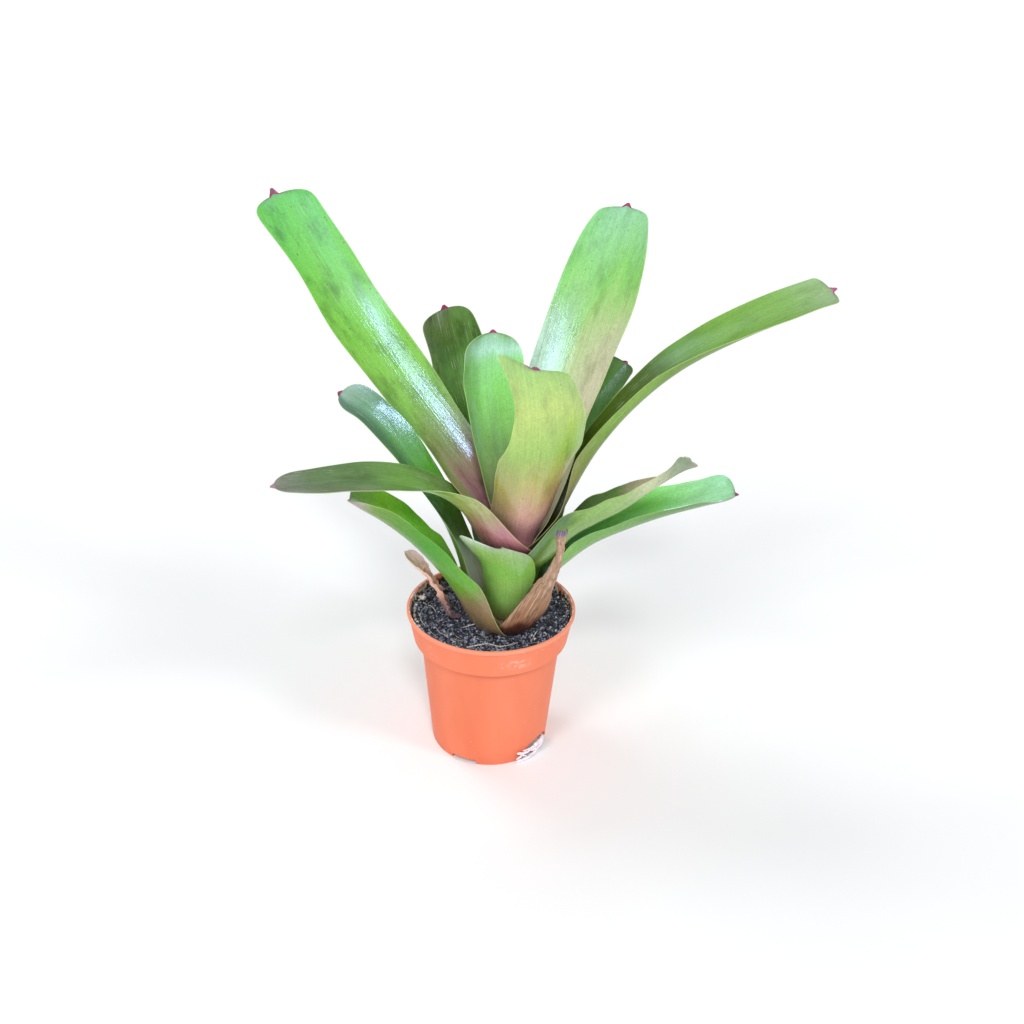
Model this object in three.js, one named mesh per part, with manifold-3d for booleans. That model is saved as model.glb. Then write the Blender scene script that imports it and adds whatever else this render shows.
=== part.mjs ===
// A neoregelia bromeliad: a funnel of strap leaves on a short stem, in soil, in a round plastic nursery pot.
// Millimetres, +Z up. The origin is the middle of the pot's base, on the surface that the pot stands on.
import * as THREE from "three";
import { mergeVertices } from "three/addons/utils/BufferGeometryUtils.js";
import Module from "manifold-3d";

const wasm = await Module();
wasm.setup();

// ---- driving dimensions ----
const GAP = 0.3; // clearance between pieces that touch

const POT = {
  rimRadius: 60,
  height: 110,
  lipHeight: 3, // thickened edge at the top
  lipOverhang: 1.1,
  wall: 1.3,
  collarFoot: 88, // height where the collar ends and turns in
  collarFootRadius: 55.6,
  seam: 84, // height of the crease under the collar
  seamRadius: 50,
  baseRadius: 42.5,
  floor: 4, // underside of the raised floor
  floorThickness: 1.5,
  padRadius: 13, // flat middle of the floor, which stands on the bench
  footWidth: 2.2,
  segments: 40,
};
const NOTCHES = { count: 5, first: -113.5, width: 20, height: 4, holeRadius: 4, holeReach: 35 };
// The one taller opening at the foot of the wall, which roots grow out of.
const DRAIN = { azimuth: -34, width: 34, height: 13, pocket: 20 };

const SOIL = { top: 102, radius: 56.1, lump: 1.2, flat: 30, rings: 7, sectors: 36 };

// The stem stands right of the pot's middle and leans: its foot is further left than its top.
// Leaves grow from it in turn, the lowest outside.
const STEM = {
  x: 17, y: -4, lean: -7, straightAbove: 60,
  foot: -16, top: 57, footRadius: 20, topRadius: 4,
  firstLeaf: 1.5, leafStep: 3.6, rings: 5, sides: 24,
};

const LEAF = {
  middle: 1.2, margin: 0.7, columns: 8, bladeRings: 14, tipRings: 3, point: 0.012, pointWidth: 1.1,
};
// Leaf bases are nested cones round the stem. They open by slope, and let go of the cone between two reaches.
const SHEATH = { clearance: 1.1, slope: 0.5, steps: [0, 12, 24], letGo: 28, free: 48, mostWrap: 2.0 };

const COLOUR = {
  pot: 0xe8694a,
  soil: 0x1d1c1f,
  stem: 0x9a8f6a,
  leaf: 0x6fae3c,
  darkLeaf: 0x3f6f2c,
  deadLeaf: 0x8a6244,
  root: 0xe9e2d6,
};

// ---- small helpers ----
const rad = THREE.MathUtils.degToRad;
const UP = new THREE.Vector3(0, 0, 1);

// The value at share s of a list of values that are spread evenly from 0 to 1,
// on a smooth curve through them.
function along(values, s) {
  const last = values.length - 1;
  const place = Math.min(Math.max(s, 0), 1) * last;
  const i = Math.min(Math.floor(place), last - 1);
  const t = place - i;
  const at = (k) => {
    if (k < 0) return 2 * values[0] - values[1];
    if (k > last) return 2 * values[last] - values[last - 1];
    return values[k];
  };
  const [a, b, c, d] = [at(i - 1), at(i), at(i + 1), at(i + 2)];
  return b + 0.5 * t * (c - a + t * (2 * a - 5 * b + 4 * c - d + t * (3 * (b - c) + d - a)));
}

// A closed BufferGeometry as a manifold-3d solid.
function solidOf(geometry) {
  const bare = geometry.clone();
  bare.deleteAttribute("normal");
  bare.deleteAttribute("uv");
  const merged = mergeVertices(bare, 1e-4);
  return new wasm.Manifold(
    new wasm.Mesh({
      numProp: 3,
      vertProperties: new Float32Array(merged.attributes.position.array),
      triVerts: new Uint32Array(merged.index.array),
    }),
  );
}

// A manifold-3d solid as a BufferGeometry.
function geometryOf(solid) {
  const made = solid.getMesh();
  const geometry = new THREE.BufferGeometry();
  geometry.setAttribute("position", new THREE.BufferAttribute(Float32Array.from(made.vertProperties), 3));
  geometry.setIndex(new THREE.BufferAttribute(Uint32Array.from(made.triVerts), 1));
  return geometry;
}

// Closed geometry from rows of points: a skin on each side, and a wall round the edge.
function sheetGeometry(front, back) {
  const rows = front.length;
  const columns = front[0].length;
  const points = [...front.flat(), ...back.flat()];
  const f = (i, j) => i * columns + j;
  const b = (i, j) => rows * columns + i * columns + j;
  const index = [];
  const quad = (p, q, r, t) => index.push(p, q, r, p, r, t);
  for (let i = 0; i < rows - 1; i++) {
    for (let j = 0; j < columns - 1; j++) {
      quad(f(i, j), f(i, j + 1), f(i + 1, j + 1), f(i + 1, j));
      index.push(b(i, j), b(i + 1, j + 1), b(i, j + 1), b(i, j), b(i + 1, j), b(i + 1, j + 1));
    }
    quad(f(i, 0), f(i + 1, 0), b(i + 1, 0), b(i, 0));
    quad(f(i + 1, columns - 1), f(i, columns - 1), b(i, columns - 1), b(i + 1, columns - 1));
  }
  for (let j = 0; j < columns - 1; j++) {
    quad(f(0, j + 1), f(0, j), b(0, j), b(0, j + 1));
    quad(f(rows - 1, j), f(rows - 1, j + 1), b(rows - 1, j + 1), b(rows - 1, j));
  }
  const geometry = new THREE.BufferGeometry();
  geometry.setAttribute("position", new THREE.Float32BufferAttribute(points.flatMap((p) => p.toArray()), 3));
  geometry.setIndex(index);
  return geometry;
}

// ---- leaves ----
// Each leaf stands in an upright plane at its azimuth, in degrees anticlockwise from +X as seen from above.
// They are listed from the lowest to the highest on the stem.
// Every list runs evenly from the root to the tip.
// spine: [reach from the stem's middle, height above the soil, sideways drift], beyond the sheath.
// half: half width, or [right half, left half] as seen from the stem.
// curl: how far the halves curl up from the midrib at their margins, in degrees, [right, left].
// roll: turn of the blade about its own line, in degrees.
// tip: the share of the length that the blunt end takes.
// skew: how far the tip's left corner runs ahead of its middle.
// square: how square the blunt end's corners are.
const LEAVES = [
  {
    name: "leaf_low_left", azimuth: 207, colour: COLOUR.leaf,
    root: [[24, 0.6], [32, 12]], spine: [[43, 30], [57, 52], [74, 75], [95, 97], [118, 116]],
    half: [[26, 28], [26, 27], [27, 23], [31, 17], [31, 15], [29, 15], [22, 15]],
    curl: [[60, 60], [60, 90], [60, 100], [50, 60]], roll: [0, 0, 0], tip: 0.1,
  },
  {
    name: "leaf_dark_left", azimuth: 169, colour: COLOUR.darkLeaf,
    root: [[20.5, 5], [26, 16]],
    spine: [[35, 34], [43, 56], [53, 80], [68, 105], [86, 128], [105, 147], [124, 158]],
    half: [[28, 34], [26, 34], [22, 28], [16, 20], [14, 14], [14, 13], [16, 13], [15, 12], [14, 11]],
    curl: [[60, 60], [50, 60], [30, 35], [20, 25]], roll: [0, 0, -20, -30], tip: 0.1,
  },
  {
    name: "leaf_low_front", azimuth: 256, colour: COLOUR.leaf,
    spine: [[28, 50, 0], [36, 74, -1]],
    half: [[26, 5], [24, 8], [22, 14], [20, 20], [26, 20]], curl: [[40, 40], [20, 30]], roll: [0, 0],
    skew: -11, tip: 0.15,
  },
  {
    name: "leaf_low_right", azimuth: 348, colour: COLOUR.leaf,
    spine: [[37, 54], [54, 70], [76, 84], [98, 96], [120, 106], [143, 116]],
    half: [[28, 28], [26, 27], [22, 26], [18, 25], [15, 26], [14, 27], [14, 26], [14, 24], [14, 20]],
    curl: [[60, 60], [90, 50], [80, 50], [40, 40]], roll: [0, 0, 0], tip: 0.06, square: 3,
  },
  {
    name: "leaf_low_back", azimuth: 76, colour: COLOUR.leaf,
    spine: [[38, 50], [56, 70], [78, 88], [102, 100], [120, 104]],
    half: [[20, 24], [18, 24], [15, 20], [15, 18], 18, 20, 21, 20],
    curl: [[60, 60], [45, 45], [35, 35]], roll: [0, 0], tip: 0.1,
  },
  {
    name: "leaf_hidden_left", azimuth: 120, colour: COLOUR.darkLeaf,
    spine: [[38, 54], [56, 74], [78, 92], [102, 104], [120, 108]],
    half: [26, 24, 21, 18, 18, 20, 21, 20], curl: [[60, 60], [45, 45], [35, 35]], roll: [0, 0], tip: 0.1,
  },
  {
    name: "leaf_twisted_right", azimuth: 334, colour: COLOUR.leaf,
    spine: [[29, 60], [42, 78], [58, 92], [74, 105], [90, 121], [104, 136], [114, 149]],
    half: [[36, 28], [38, 28], [40, 28], [34, 29], [24, 31], [18, 28], [14, 23], [9, 15], [4, 8], [6, 14]],
    curl: [[70, 60], [100, 50], [115, 50], [100, 70], [40, 40]], roll: [0, 0, 0, -10, -70], tip: 0.05,
  },
  {
    name: "leaf_small_back", azimuth: 52, colour: COLOUR.darkLeaf,
    spine: [[30, 66], [44, 90], [60, 114], [78, 136], [96, 153, -4], [110, 166, -9]],
    half: [28, 24, 20, 17, 17, 18, 18, 17, 15], curl: [[60, 60], [50, 50], [40, 40]],
    roll: [0, 0], tip: 0.07, square: 3.4,
  },
  {
    name: "leaf_arching_left", azimuth: 201, colour: COLOUR.leaf,
    spine: [[28, 70], [40, 92], [58, 108], [82, 118], [110, 124], [136, 126], [162, 126]],
    half: [[28, 34], [26, 38], [24, 42], [18, 39], [28, 33], [26, 23], [22, 19], [18, 18], [11, 16], [9, 11]],
    curl: [[60, 60], [50, 90], [20, 60], [15, 10], [10, 10]], roll: [0, 0, 0, -5, -5], tip: 0.1,
  },
  {
    name: "leaf_dark_back", azimuth: 117, colour: COLOUR.darkLeaf,
    spine: [[27, 72], [46, 92], [69, 114], [90, 139], [107, 166, 1], [118, 197, 4]],
    half: [[23, 28], [22, 24], 20, 18, 18, 22, [25, 22], [24, 19], [17, 21]],
    curl: [[60, 60], [45, 45], [30, 30]], roll: [0, -10, -15], skew: -3, tip: 0.07, square: 3.8,
  },
  {
    name: "leaf_arching_right", azimuth: 11, colour: COLOUR.leaf,
    spine: [[23, 76], [38, 103], [54, 131], [76, 158], [104, 182], [138, 202], [172, 219], [207, 233]],
    half: [
      [34, 28], [30, 27], [26, 25], [22, 22], [18, 19], [16, 18],
      [15, 21], [16, 24], [20, 22], [22, 18], [18, 14],
    ],
    curl: [[70, 60], [90, 50], [110, 40], [100, 35], [55, 28], [25, 20]],
    roll: [0, 0, 0, 0, 8, 20], tip: 0.035, square: 3,
  },
  {
    name: "leaf_tall_left", azimuth: 149, colour: COLOUR.leaf,
    spine: [[22, 78], [40, 99], [66, 121], [99, 151], [136, 190], [172, 230], [207, 275]],
    half: [[24, 28], [22, 25], 22, 20, [22, 18], [25, 12], [29, 14], [28, 18], [28, 14], [25, 22]],
    curl: [[60, 60], [45, 40], [30, 30], [25, 20]], roll: [0, -15, -25, -25], tip: 0.05, square: 3.2,
  },
  {
    name: "leaf_tall_back", azimuth: 58, colour: COLOUR.leaf,
    spine: [[21, 80], [31, 102], [45, 132], [65, 166], [89, 204], [113, 240], [135, 271]],
    half: [[24, 28], [22, 25], 22, 23, 26, [28, 30], [31, 31], [35, 30], [29, 27], [16, 16]],
    curl: [[60, 60], [40, 40], [20, 20]], roll: [0, 0], tip: 0.05, square: 3,
  },
  {
    name: "leaf_front", azimuth: 290, colour: COLOUR.leaf,
    spine: [[22, 90], [28, 108], [35, 130], [40, 154], [42, 178, -2], [39, 200, -6]],
    half: [[28, 21], [28, 20], [28, 20], [29, 20], [27, 22], [27, 28], [20, 34], [17, 28], [24, 20]],
    curl: [[50, 50], [30, 30], [20, 20]], roll: [0, 0], skew: -9, tip: 0.05, square: 4,
  },
  {
    name: "leaf_heart", azimuth: 117, colour: COLOUR.leaf,
    spine: [[21, 92], [28, 112], [36, 132], [44, 154], [49, 175, -1], [50, 197, -3]],
    half: [20, 18, 17, 18, 20, 22, 23, 23, 20], curl: [[50, 50], [40, 40], [25, 25]], roll: [0, 0], tip: 0.1,
  },
];

// Dead leaves stand outside the others and have dried into rolls. Their spines start on the soil.
const DEAD_LEAVES = [
  {
    name: "dead_leaf_right", azimuth: 301, colour: COLOUR.deadLeaf,
    spine: [[26, 4, -4], [29.5, 14, -3], [33.5, 27, -2], [41, 44], [49, 60], [54, 76], [57, 89], [61, 97]],
    half: [[15, 22], [15, 20], [15, 17], 12, 9, 6, 6, 7],
    curl: [[60, 60], [60, 60], [100, 100], [120, 120], [80, 80]],
    roll: [0, 0], tip: 0.06,
  },
  {
    name: "dead_leaf_left", azimuth: 184, colour: COLOUR.deadLeaf,
    spine: [[34, 2], [43, 2.6], [48, 11], [53, 23], [60, 34], [68, 44], [77, 55]],
    half: [6, 7, 7, 6, 5, 6, 5], curl: [[40, 40], [100, 100], [110, 110], [90, 90]], roll: [0, 0], tip: 0.12,
  },
];

// The stem's radius at a height above the soil, how far it leans there,
// and the reach of a leaf base round it.
const stemRadius = (height) =>
  STEM.footRadius + ((STEM.topRadius - STEM.footRadius) * (height - STEM.foot)) / (STEM.top - STEM.foot);
const stemLean = (height) => STEM.lean * Math.max(1 - height / STEM.straightAbove, 0) ** 2;
const sheathReach = (foot, height) => stemRadius(height) + SHEATH.clearance + SHEATH.slope * (height - foot);

// Each leaf's whole line: the sheath that starts at its foot on the stem, and then the blade.
LEAVES.forEach((leaf, i) => {
  const foot = STEM.firstLeaf + i * STEM.leafStep;
  const sheath = SHEATH.steps.map((step) => [sheathReach(foot, foot + step), foot + step]);
  leaf.line = [...(leaf.root ?? sheath), ...leaf.spine];
});
for (const leaf of DEAD_LEAVES) leaf.line = leaf.spine;

const eitherHalf = (value, u) => (Array.isArray(value) ? value[u < 0 ? 0 : 1] : value);

// The share of the width that is left near the blunt tip, which ends in a small point.
function tipShare(leaf, s) {
  const start = 1 - leaf.tip;
  if (s <= start) return 1;
  const x = Math.min((s - start) / (leaf.tip - LEAF.point), 1);
  return Math.pow(1 - Math.pow(x, leaf.square ?? 2.6), 1 / 2.2);
}

// The middle surface of a leaf, at share s of its length and u from -1 to 1 across it, in the stem's frame.
function leafPoint(leaf, s, u) {
  const at = (k, t) => along(leaf.line.map((p) => p[k] ?? 0), t);
  const place = (t) => new THREE.Vector3(at(0, t), at(2, t), at(1, t));
  const p = place(s);
  const step = 0.01;
  const ahead = place(Math.min(s + step, 1)).sub(place(Math.max(s - step, 0))).normalize();
  const side = new THREE.Vector3(0, 1, 0).addScaledVector(ahead, -ahead.y).normalize();
  side.applyAxisAngle(ahead, rad(along(leaf.roll, s)));
  const inward = new THREE.Vector3().crossVectors(ahead, side);

  const full = along(leaf.half.map((h) => eitherHalf(h, u)), s);
  const point = LEAF.pointWidth * Math.min(1, 0.35 + (0.65 * (1 - s)) / LEAF.point);
  const half = Math.max(full * tipShare(leaf, s), point);
  const curl = rad(along(leaf.curl.map((c) => eitherHalf(c, u)), s));
  const across = (half / curl) * Math.sin(curl * u);
  const lift = (half / curl) * (1 - Math.cos(curl * u));
  const skew = (leaf.skew ?? 0) * u * s ** 8 * (half / full);
  const free = p.clone().addScaledVector(side, across);
  free.addScaledVector(inward, lift).addScaledVector(ahead, skew);

  // Near the stem the leaf is part of a cone round it.
  const wrap = u * Math.min(half / p.x, SHEATH.mostWrap);
  const cone = new THREE.Vector3(p.x * Math.cos(wrap), p.x * Math.sin(wrap) + p.y, p.z);
  const point3 = cone.lerp(free, THREE.MathUtils.smoothstep(p.x, SHEATH.letGo, SHEATH.free));

  // The foot of the stem leans, and everything that grows there leans with it.
  return point3.applyAxisAngle(UP, rad(leaf.azimuth)).add(new THREE.Vector3(stemLean(point3.z), 0, 0));
}

function leafGeometry(leaf) {
  const stations = [];
  for (let i = 0; i <= LEAF.bladeRings; i++) stations.push(((1 - leaf.tip) * i) / LEAF.bladeRings);
  for (let i = 1; i <= LEAF.tipRings; i++) {
    stations.push(1 - leaf.tip + (leaf.tip - LEAF.point) * Math.sin((Math.PI / 2) * (i / LEAF.tipRings)));
  }
  stations.push(1);
  const outer = [];
  const inner = [];
  const ds = 0.004;
  const du = 0.05;
  for (const s of stations) {
    const outerRow = [];
    const innerRow = [];
    for (let j = 0; j <= LEAF.columns; j++) {
      const u = (2 * j) / LEAF.columns - 1;
      const t = Math.min(s, 1 - ds);
      const lengthwise = leafPoint(leaf, t + ds, u).sub(leafPoint(leaf, Math.max(t - ds, 0), u));
      const crosswise = leafPoint(leaf, t, Math.min(u + du, 1)).sub(leafPoint(leaf, t, Math.max(u - du, -1)));
      const normal = new THREE.Vector3().crossVectors(lengthwise, crosswise).normalize();
      const thick = LEAF.middle + (LEAF.margin - LEAF.middle) * u * u;
      const p = leafPoint(leaf, s, u);
      innerRow.push(p.clone().addScaledVector(normal, thick / 2));
      outerRow.push(p.clone().addScaledVector(normal, -thick / 2));
    }
    outer.push(outerRow);
    inner.push(innerRow);
  }
  return sheetGeometry(outer, inner);
}

// ---- stem and soil ----
// A round solid about +Z from [radius, height] pairs that start and end on the axis.
function turned(profile, segments) {
  const points = profile.map(([r, z]) => new THREE.Vector2(r, z));
  return new THREE.LatheGeometry(points, segments).rotateX(Math.PI / 2);
}

// The stem, in the frame of the soil's top, with its surface moved out by grow.
function stemGeometry(grow) {
  const side = [];
  for (let i = 0; i <= STEM.rings; i++) {
    const height = THREE.MathUtils.lerp(STEM.foot - grow, STEM.top + grow, i / STEM.rings);
    side.push([stemRadius(height) + grow, height]);
  }
  const geometry = turned([[0, side[0][1]], ...side, [0, side.at(-1)[1]]], STEM.sides);
  const points = geometry.attributes.position;
  for (let i = 0; i < points.count; i++) points.setX(i, points.getX(i) + stemLean(points.getZ(i)));
  return geometry;
}

// Soil height above its mean: lumps by formula, flat round the plant's foot and at the pot's wall.
function lumpHeight(x, y) {
  const broad = Math.sin(0.31 * x + 1.7) * Math.cos(0.27 * y - 0.6);
  const lumps = broad + 0.6 * Math.sin(0.53 * x - 0.41 * y + 2.1);
  const fromPlant = Math.hypot(x - STEM.x - STEM.lean, y - STEM.y);
  const fromWall = SOIL.radius - Math.hypot(x, y);
  const share = THREE.MathUtils.smoothstep(fromPlant, SOIL.flat, SOIL.flat + 8);
  return SOIL.lump * lumps * share * THREE.MathUtils.smoothstep(fromWall, 0, 4);
}

function soilSolid() {
  const inner = [
    [POT.baseRadius - POT.wall, POT.floor + POT.floorThickness],
    [POT.seamRadius - POT.wall, POT.seam],
    [POT.collarFootRadius - POT.wall, POT.collarFoot + 0.8],
    [SOIL.radius + GAP, SOIL.top],
  ].map(([r, z], i) => [r - GAP, i === 0 ? z + GAP : z]);
  const top = [];
  for (let i = 1; i <= SOIL.rings; i++) top.push([SOIL.radius * (1 - i / SOIL.rings), SOIL.top]);
  const geometry = turned([[0, inner[0][1]], ...inner, ...top], SOIL.sectors);
  const points = geometry.attributes.position;
  for (let i = 0; i < points.count; i++) {
    if (points.getZ(i) < SOIL.top - 0.01) continue;
    points.setZ(i, SOIL.top + lumpHeight(points.getX(i), points.getY(i)));
  }
  const stemHole = solidOf(stemGeometry(GAP).translate(STEM.x, STEM.y, SOIL.top));
  const pocket = solidOf(drainBlock(DRAIN.pocket, DRAIN.height + 4));
  return solidOf(geometry).subtract(stemHole).subtract(pocket);
}

// ---- pot ----
// A block over the drain opening, of a given half width, from below the pot up to a height.
function drainBlock(halfWidth, height) {
  const block = new THREE.CylinderGeometry(halfWidth, halfWidth, height + 2, 24).rotateX(Math.PI / 2);
  const centre = new THREE.Vector3(POT.baseRadius, 0, height / 2 - 1).applyAxisAngle(UP, rad(DRAIN.azimuth));
  return block.translate(centre.x, centre.y, centre.z);
}

function potSolid() {
  const p = POT;
  const profile = [
    [0, 0], [p.padRadius, 0], [p.padRadius + 2, p.floor], [p.baseRadius - p.footWidth, p.floor],
    [p.baseRadius - p.footWidth, 0], [p.baseRadius - 0.8, 0], [p.baseRadius + 0.1, 1.2],
    [p.seamRadius, p.seam], [p.seamRadius + 1.5, p.seam + 0.6],
    [p.collarFootRadius - 1, p.collarFoot - 1], [p.collarFootRadius, p.collarFoot + 1],
    [p.rimRadius - p.lipOverhang, p.height - p.lipHeight], [p.rimRadius, p.height - p.lipHeight + 0.8],
    [p.rimRadius, p.height - 0.8], [p.rimRadius - 0.8, p.height], [p.rimRadius - 2.2, p.height],
    [p.collarFootRadius - p.wall, p.collarFoot + 0.4], [p.seamRadius - p.wall, p.seam - 1],
    [p.baseRadius - p.wall + 0.3, p.floor + p.floorThickness], [p.padRadius + 1, p.floor + p.floorThickness],
    [p.padRadius - 1, p.floorThickness], [0, p.floorThickness],
  ];
  let pot = solidOf(turned(profile, p.segments));
  for (let i = 0; i < NOTCHES.count; i++) {
    const azimuth = rad(NOTCHES.first + (i * 360) / NOTCHES.count);
    const place = (geometry, reach, z) =>
      solidOf(geometry.translate(reach, 0, z).applyMatrix4(new THREE.Matrix4().makeRotationZ(azimuth)));
    const notch = new THREE.BoxGeometry(10, NOTCHES.width, 2 * NOTCHES.height);
    const hole = new THREE.CylinderGeometry(NOTCHES.holeRadius, NOTCHES.holeRadius, 12, 16);
    hole.rotateX(Math.PI / 2);
    pot = pot.subtract(place(notch, p.baseRadius, 0));
    pot = pot.subtract(place(hole, NOTCHES.holeReach, p.floor));
  }
  const opening = new THREE.CylinderGeometry(1, 1, 12, 24).rotateZ(Math.PI / 2);
  opening.scale(1, DRAIN.width / 2, DRAIN.height);
  opening.translate(p.baseRadius, 0, 0).rotateZ(rad(DRAIN.azimuth));
  return pot.subtract(solidOf(opening));
}

// ---- roots ----
// Each strand: its radius, and [azimuth, reach, height] points.
const ROOTS = [
  { radius: 1.5, path: [[-24, 38, 8], [-24, 43, 8.6], [-30, 45, 9.6], [-38, 45, 9], [-45, 44.8, 7.5]] },
  { radius: 1.2, path: [[-20, 38, 4], [-22, 42.6, 4.5], [-29, 44.6, 5.5], [-37, 44.6, 5], [-46, 44.8, 6.5]] },
  { radius: 1.1, path: [[-30, 40, 1.8], [-34, 43, 2], [-42, 44.6, 2.4], [-52, 44.8, 1.5], [-62, 44.6, 1.2]] },
  { radius: 1.0, path: [[-38, 44.8, 9], [-45, 44.8, 7.6], [-53, 44.9, 7.2], [-62, 45.2, 9.4]] },
  { radius: 0.7, path: [[-45, 44.8, 7], [-52, 44.8, 7], [-57, 45, 5.6], [-62, 44.8, 3.4]] },
  { radius: 0.9, path: [[-31, 44.8, 9.5], [-36, 44.6, 6], [-40, 44.5, 2.4]] },
];

function rootsSolid() {
  const strands = ROOTS.map(({ radius, path }) => {
    const points = path.map(([azimuth, reach, z]) => {
      return new THREE.Vector3(reach, 0, z).applyAxisAngle(UP, rad(azimuth));
    });
    const section = new THREE.Shape().absarc(0, 0, radius, 0, 2 * Math.PI);
    const extrudePath = new THREE.CatmullRomCurve3(points);
    const options = { steps: 8, bevelEnabled: false, curveSegments: 3, extrudePath };
    return solidOf(new THREE.ExtrudeGeometry(section, options));
  });
  return strands.reduce((whole, strand) => whole.add(strand));
}

// ---- build ----
const bromeliad = new THREE.Group();
bromeliad.name = "potted_bromeliad";

function add(name, geometry, colour, roughness, parent = bromeliad) {
  const material = new THREE.MeshStandardMaterial({ color: colour, roughness, metalness: 0 });
  const mesh = new THREE.Mesh(geometry, material);
  mesh.name = name;
  parent.add(mesh);
}

add("pot", geometryOf(potSolid()), COLOUR.pot, 0.45);
add("drain_roots", geometryOf(rootsSolid()), COLOUR.root, 0.8);
add("soil", geometryOf(soilSolid()), COLOUR.soil, 0.95);

const crown = new THREE.Group();
crown.position.set(STEM.x, STEM.y, SOIL.top);
bromeliad.add(crown);
add("stem", stemGeometry(0), COLOUR.stem, 0.7, crown);
for (const leaf of [...DEAD_LEAVES, ...LEAVES]) add(leaf.name, leafGeometry(leaf), leaf.colour, 0.35, crown);

export default bromeliad;
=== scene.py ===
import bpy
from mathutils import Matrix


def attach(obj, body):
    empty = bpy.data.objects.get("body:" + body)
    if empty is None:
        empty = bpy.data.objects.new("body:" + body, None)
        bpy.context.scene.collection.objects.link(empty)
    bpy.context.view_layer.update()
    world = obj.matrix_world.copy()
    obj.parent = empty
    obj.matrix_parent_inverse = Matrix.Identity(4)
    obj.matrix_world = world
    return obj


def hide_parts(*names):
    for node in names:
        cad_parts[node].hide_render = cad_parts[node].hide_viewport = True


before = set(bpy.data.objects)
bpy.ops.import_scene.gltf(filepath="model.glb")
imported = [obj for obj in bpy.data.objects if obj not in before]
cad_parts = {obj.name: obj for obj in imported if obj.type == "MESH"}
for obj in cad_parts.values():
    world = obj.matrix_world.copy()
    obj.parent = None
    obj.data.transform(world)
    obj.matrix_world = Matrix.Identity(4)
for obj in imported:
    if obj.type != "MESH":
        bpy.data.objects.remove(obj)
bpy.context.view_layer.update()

"""A neoregelia bromeliad in a round plastic nursery pot, dressed round its solid model.

Every piece is in metres in the model's frame. Sizes are given in millimetres and turned
to metres where a mesh is made.
"""
import logging
import math
from collections.abc import Iterator, Sequence
from contextlib import contextmanager
from dataclasses import dataclass
from enum import Enum
from functools import reduce

import bpy
import numpy as np
from mathutils import Matrix

LOG = logging.getLogger("potted_bromeliad")
MM = 0.001
SOIL_TOP = 102.0
CROWN = np.array([17.0, -4.0, SOIL_TOP])
SEAM_MERGE, SLIVER = 1e-6, 1e-7
LUMP_CELLS = 64

Array = np.ndarray
Piece = bpy.types.Object
Material = bpy.types.Material
Socket = bpy.types.NodeSocket
Spot = tuple[float, float, float]
Span = tuple[float, float]
Stops = tuple[tuple[float, str], ...]
Inputs = dict[int | str, object]


class Slot(Enum):
    """What a piece is made of, by the record's names."""

    POT = "pot_plastic"
    SOIL = "soil"
    ROOT = "root"
    DEAD_LEAF = "dead_leaf"
    DARK_LEAF = "dark_leaf"
    LEAF = "leaf"


class Face(Enum):
    """The side of a leaf that a tint lies on."""

    INNER = "inner"
    OUTER = "outer"
    BOTH = "both"


# ---------------------------------------------------------------- number helpers
def linear(colour: str) -> tuple[float, float, float, float]:
    """Turn a screen colour into the linear colour that shaders take.

    Args:
        colour: six hexadecimal digits, red first.

    Returns:
        Red, green and blue from 0 to 1, and an alpha of 1.
    """
    parts = [int(colour[i : i + 2], 16) / 255 for i in (0, 2, 4)]
    parts = [c / 12.92 if c <= 0.04045 else ((c + 0.055) / 1.055) ** 2.4 for c in parts]
    return parts[0], parts[1], parts[2], 1.0


def eased(t: Array) -> Array:
    """Round off both ends of a rise from 0 to 1."""
    return t * t * (3 - 2 * t)


def step_between(low: float, high: float, value: Array) -> Array:
    """Rise smoothly from 0 to 1 between two limits."""
    return eased(np.clip((value - low) / (high - low), 0, 1))


def curve_through(values: Array | Sequence, share: Array) -> Array:
    """Read a smooth curve through values that are spread evenly from 0 to 1.

    Args:
        values: one value or one row for each place.
        share: where to read, from 0 to 1.

    Returns:
        The curve's value at each share.
    """
    values = np.asarray(values, float)
    last = len(values) - 1
    place = np.clip(share, 0, 1) * last
    i = np.minimum(np.floor(place).astype(int), last - 1)
    t = place - i
    if values.ndim > 1:
        t = t[..., None]
    more = np.concatenate([[2 * values[0] - values[1]], values, [2 * values[-1] - values[-2]]])
    a, b, c, d = more[i], more[i + 1], more[i + 2], more[i + 3]
    return b + 0.5 * t * (c - a + t * (2 * a - 5 * b + 4 * c - d + t * (3 * (b - c) + d - a)))


def lumps(x: Array, y: Array, size: float, seed: int) -> Array:
    """Make smooth random heights from -1 to 1 over a plane.

    Args:
        x: places along X.
        y: places along Y.
        size: the distance between lumps.
        seed: picks the pattern.

    Returns:
        A height for each place.
    """
    values = np.random.default_rng(seed).uniform(-1, 1, (LUMP_CELLS, LUMP_CELLS))
    px, py = x / size, y / size
    i, j = np.floor(px).astype(int), np.floor(py).astype(int)
    u, v = eased(px - i), eased(py - j)
    a, b, c, d = (values[(i + m) % LUMP_CELLS, (j + n) % LUMP_CELLS] for n in (0, 1) for m in (0, 1))
    return (a * (1 - u) + b * u) * (1 - v) + (c * (1 - u) + d * u) * v


# ---------------------------------------------------------------- mesh helpers
def deselect() -> None:
    """Leave nothing selected."""
    if bpy.context.mode != "OBJECT":
        bpy.ops.object.mode_set(mode="OBJECT")
    bpy.ops.object.select_all(action="DESELECT")


def pick(*pieces: Piece) -> None:
    """Select these objects alone and make the first one active.

    Args:
        pieces: the objects.
    """
    deselect()
    for piece in pieces:
        piece.select_set(True)
    bpy.context.view_layer.objects.active = pieces[0]


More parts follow.
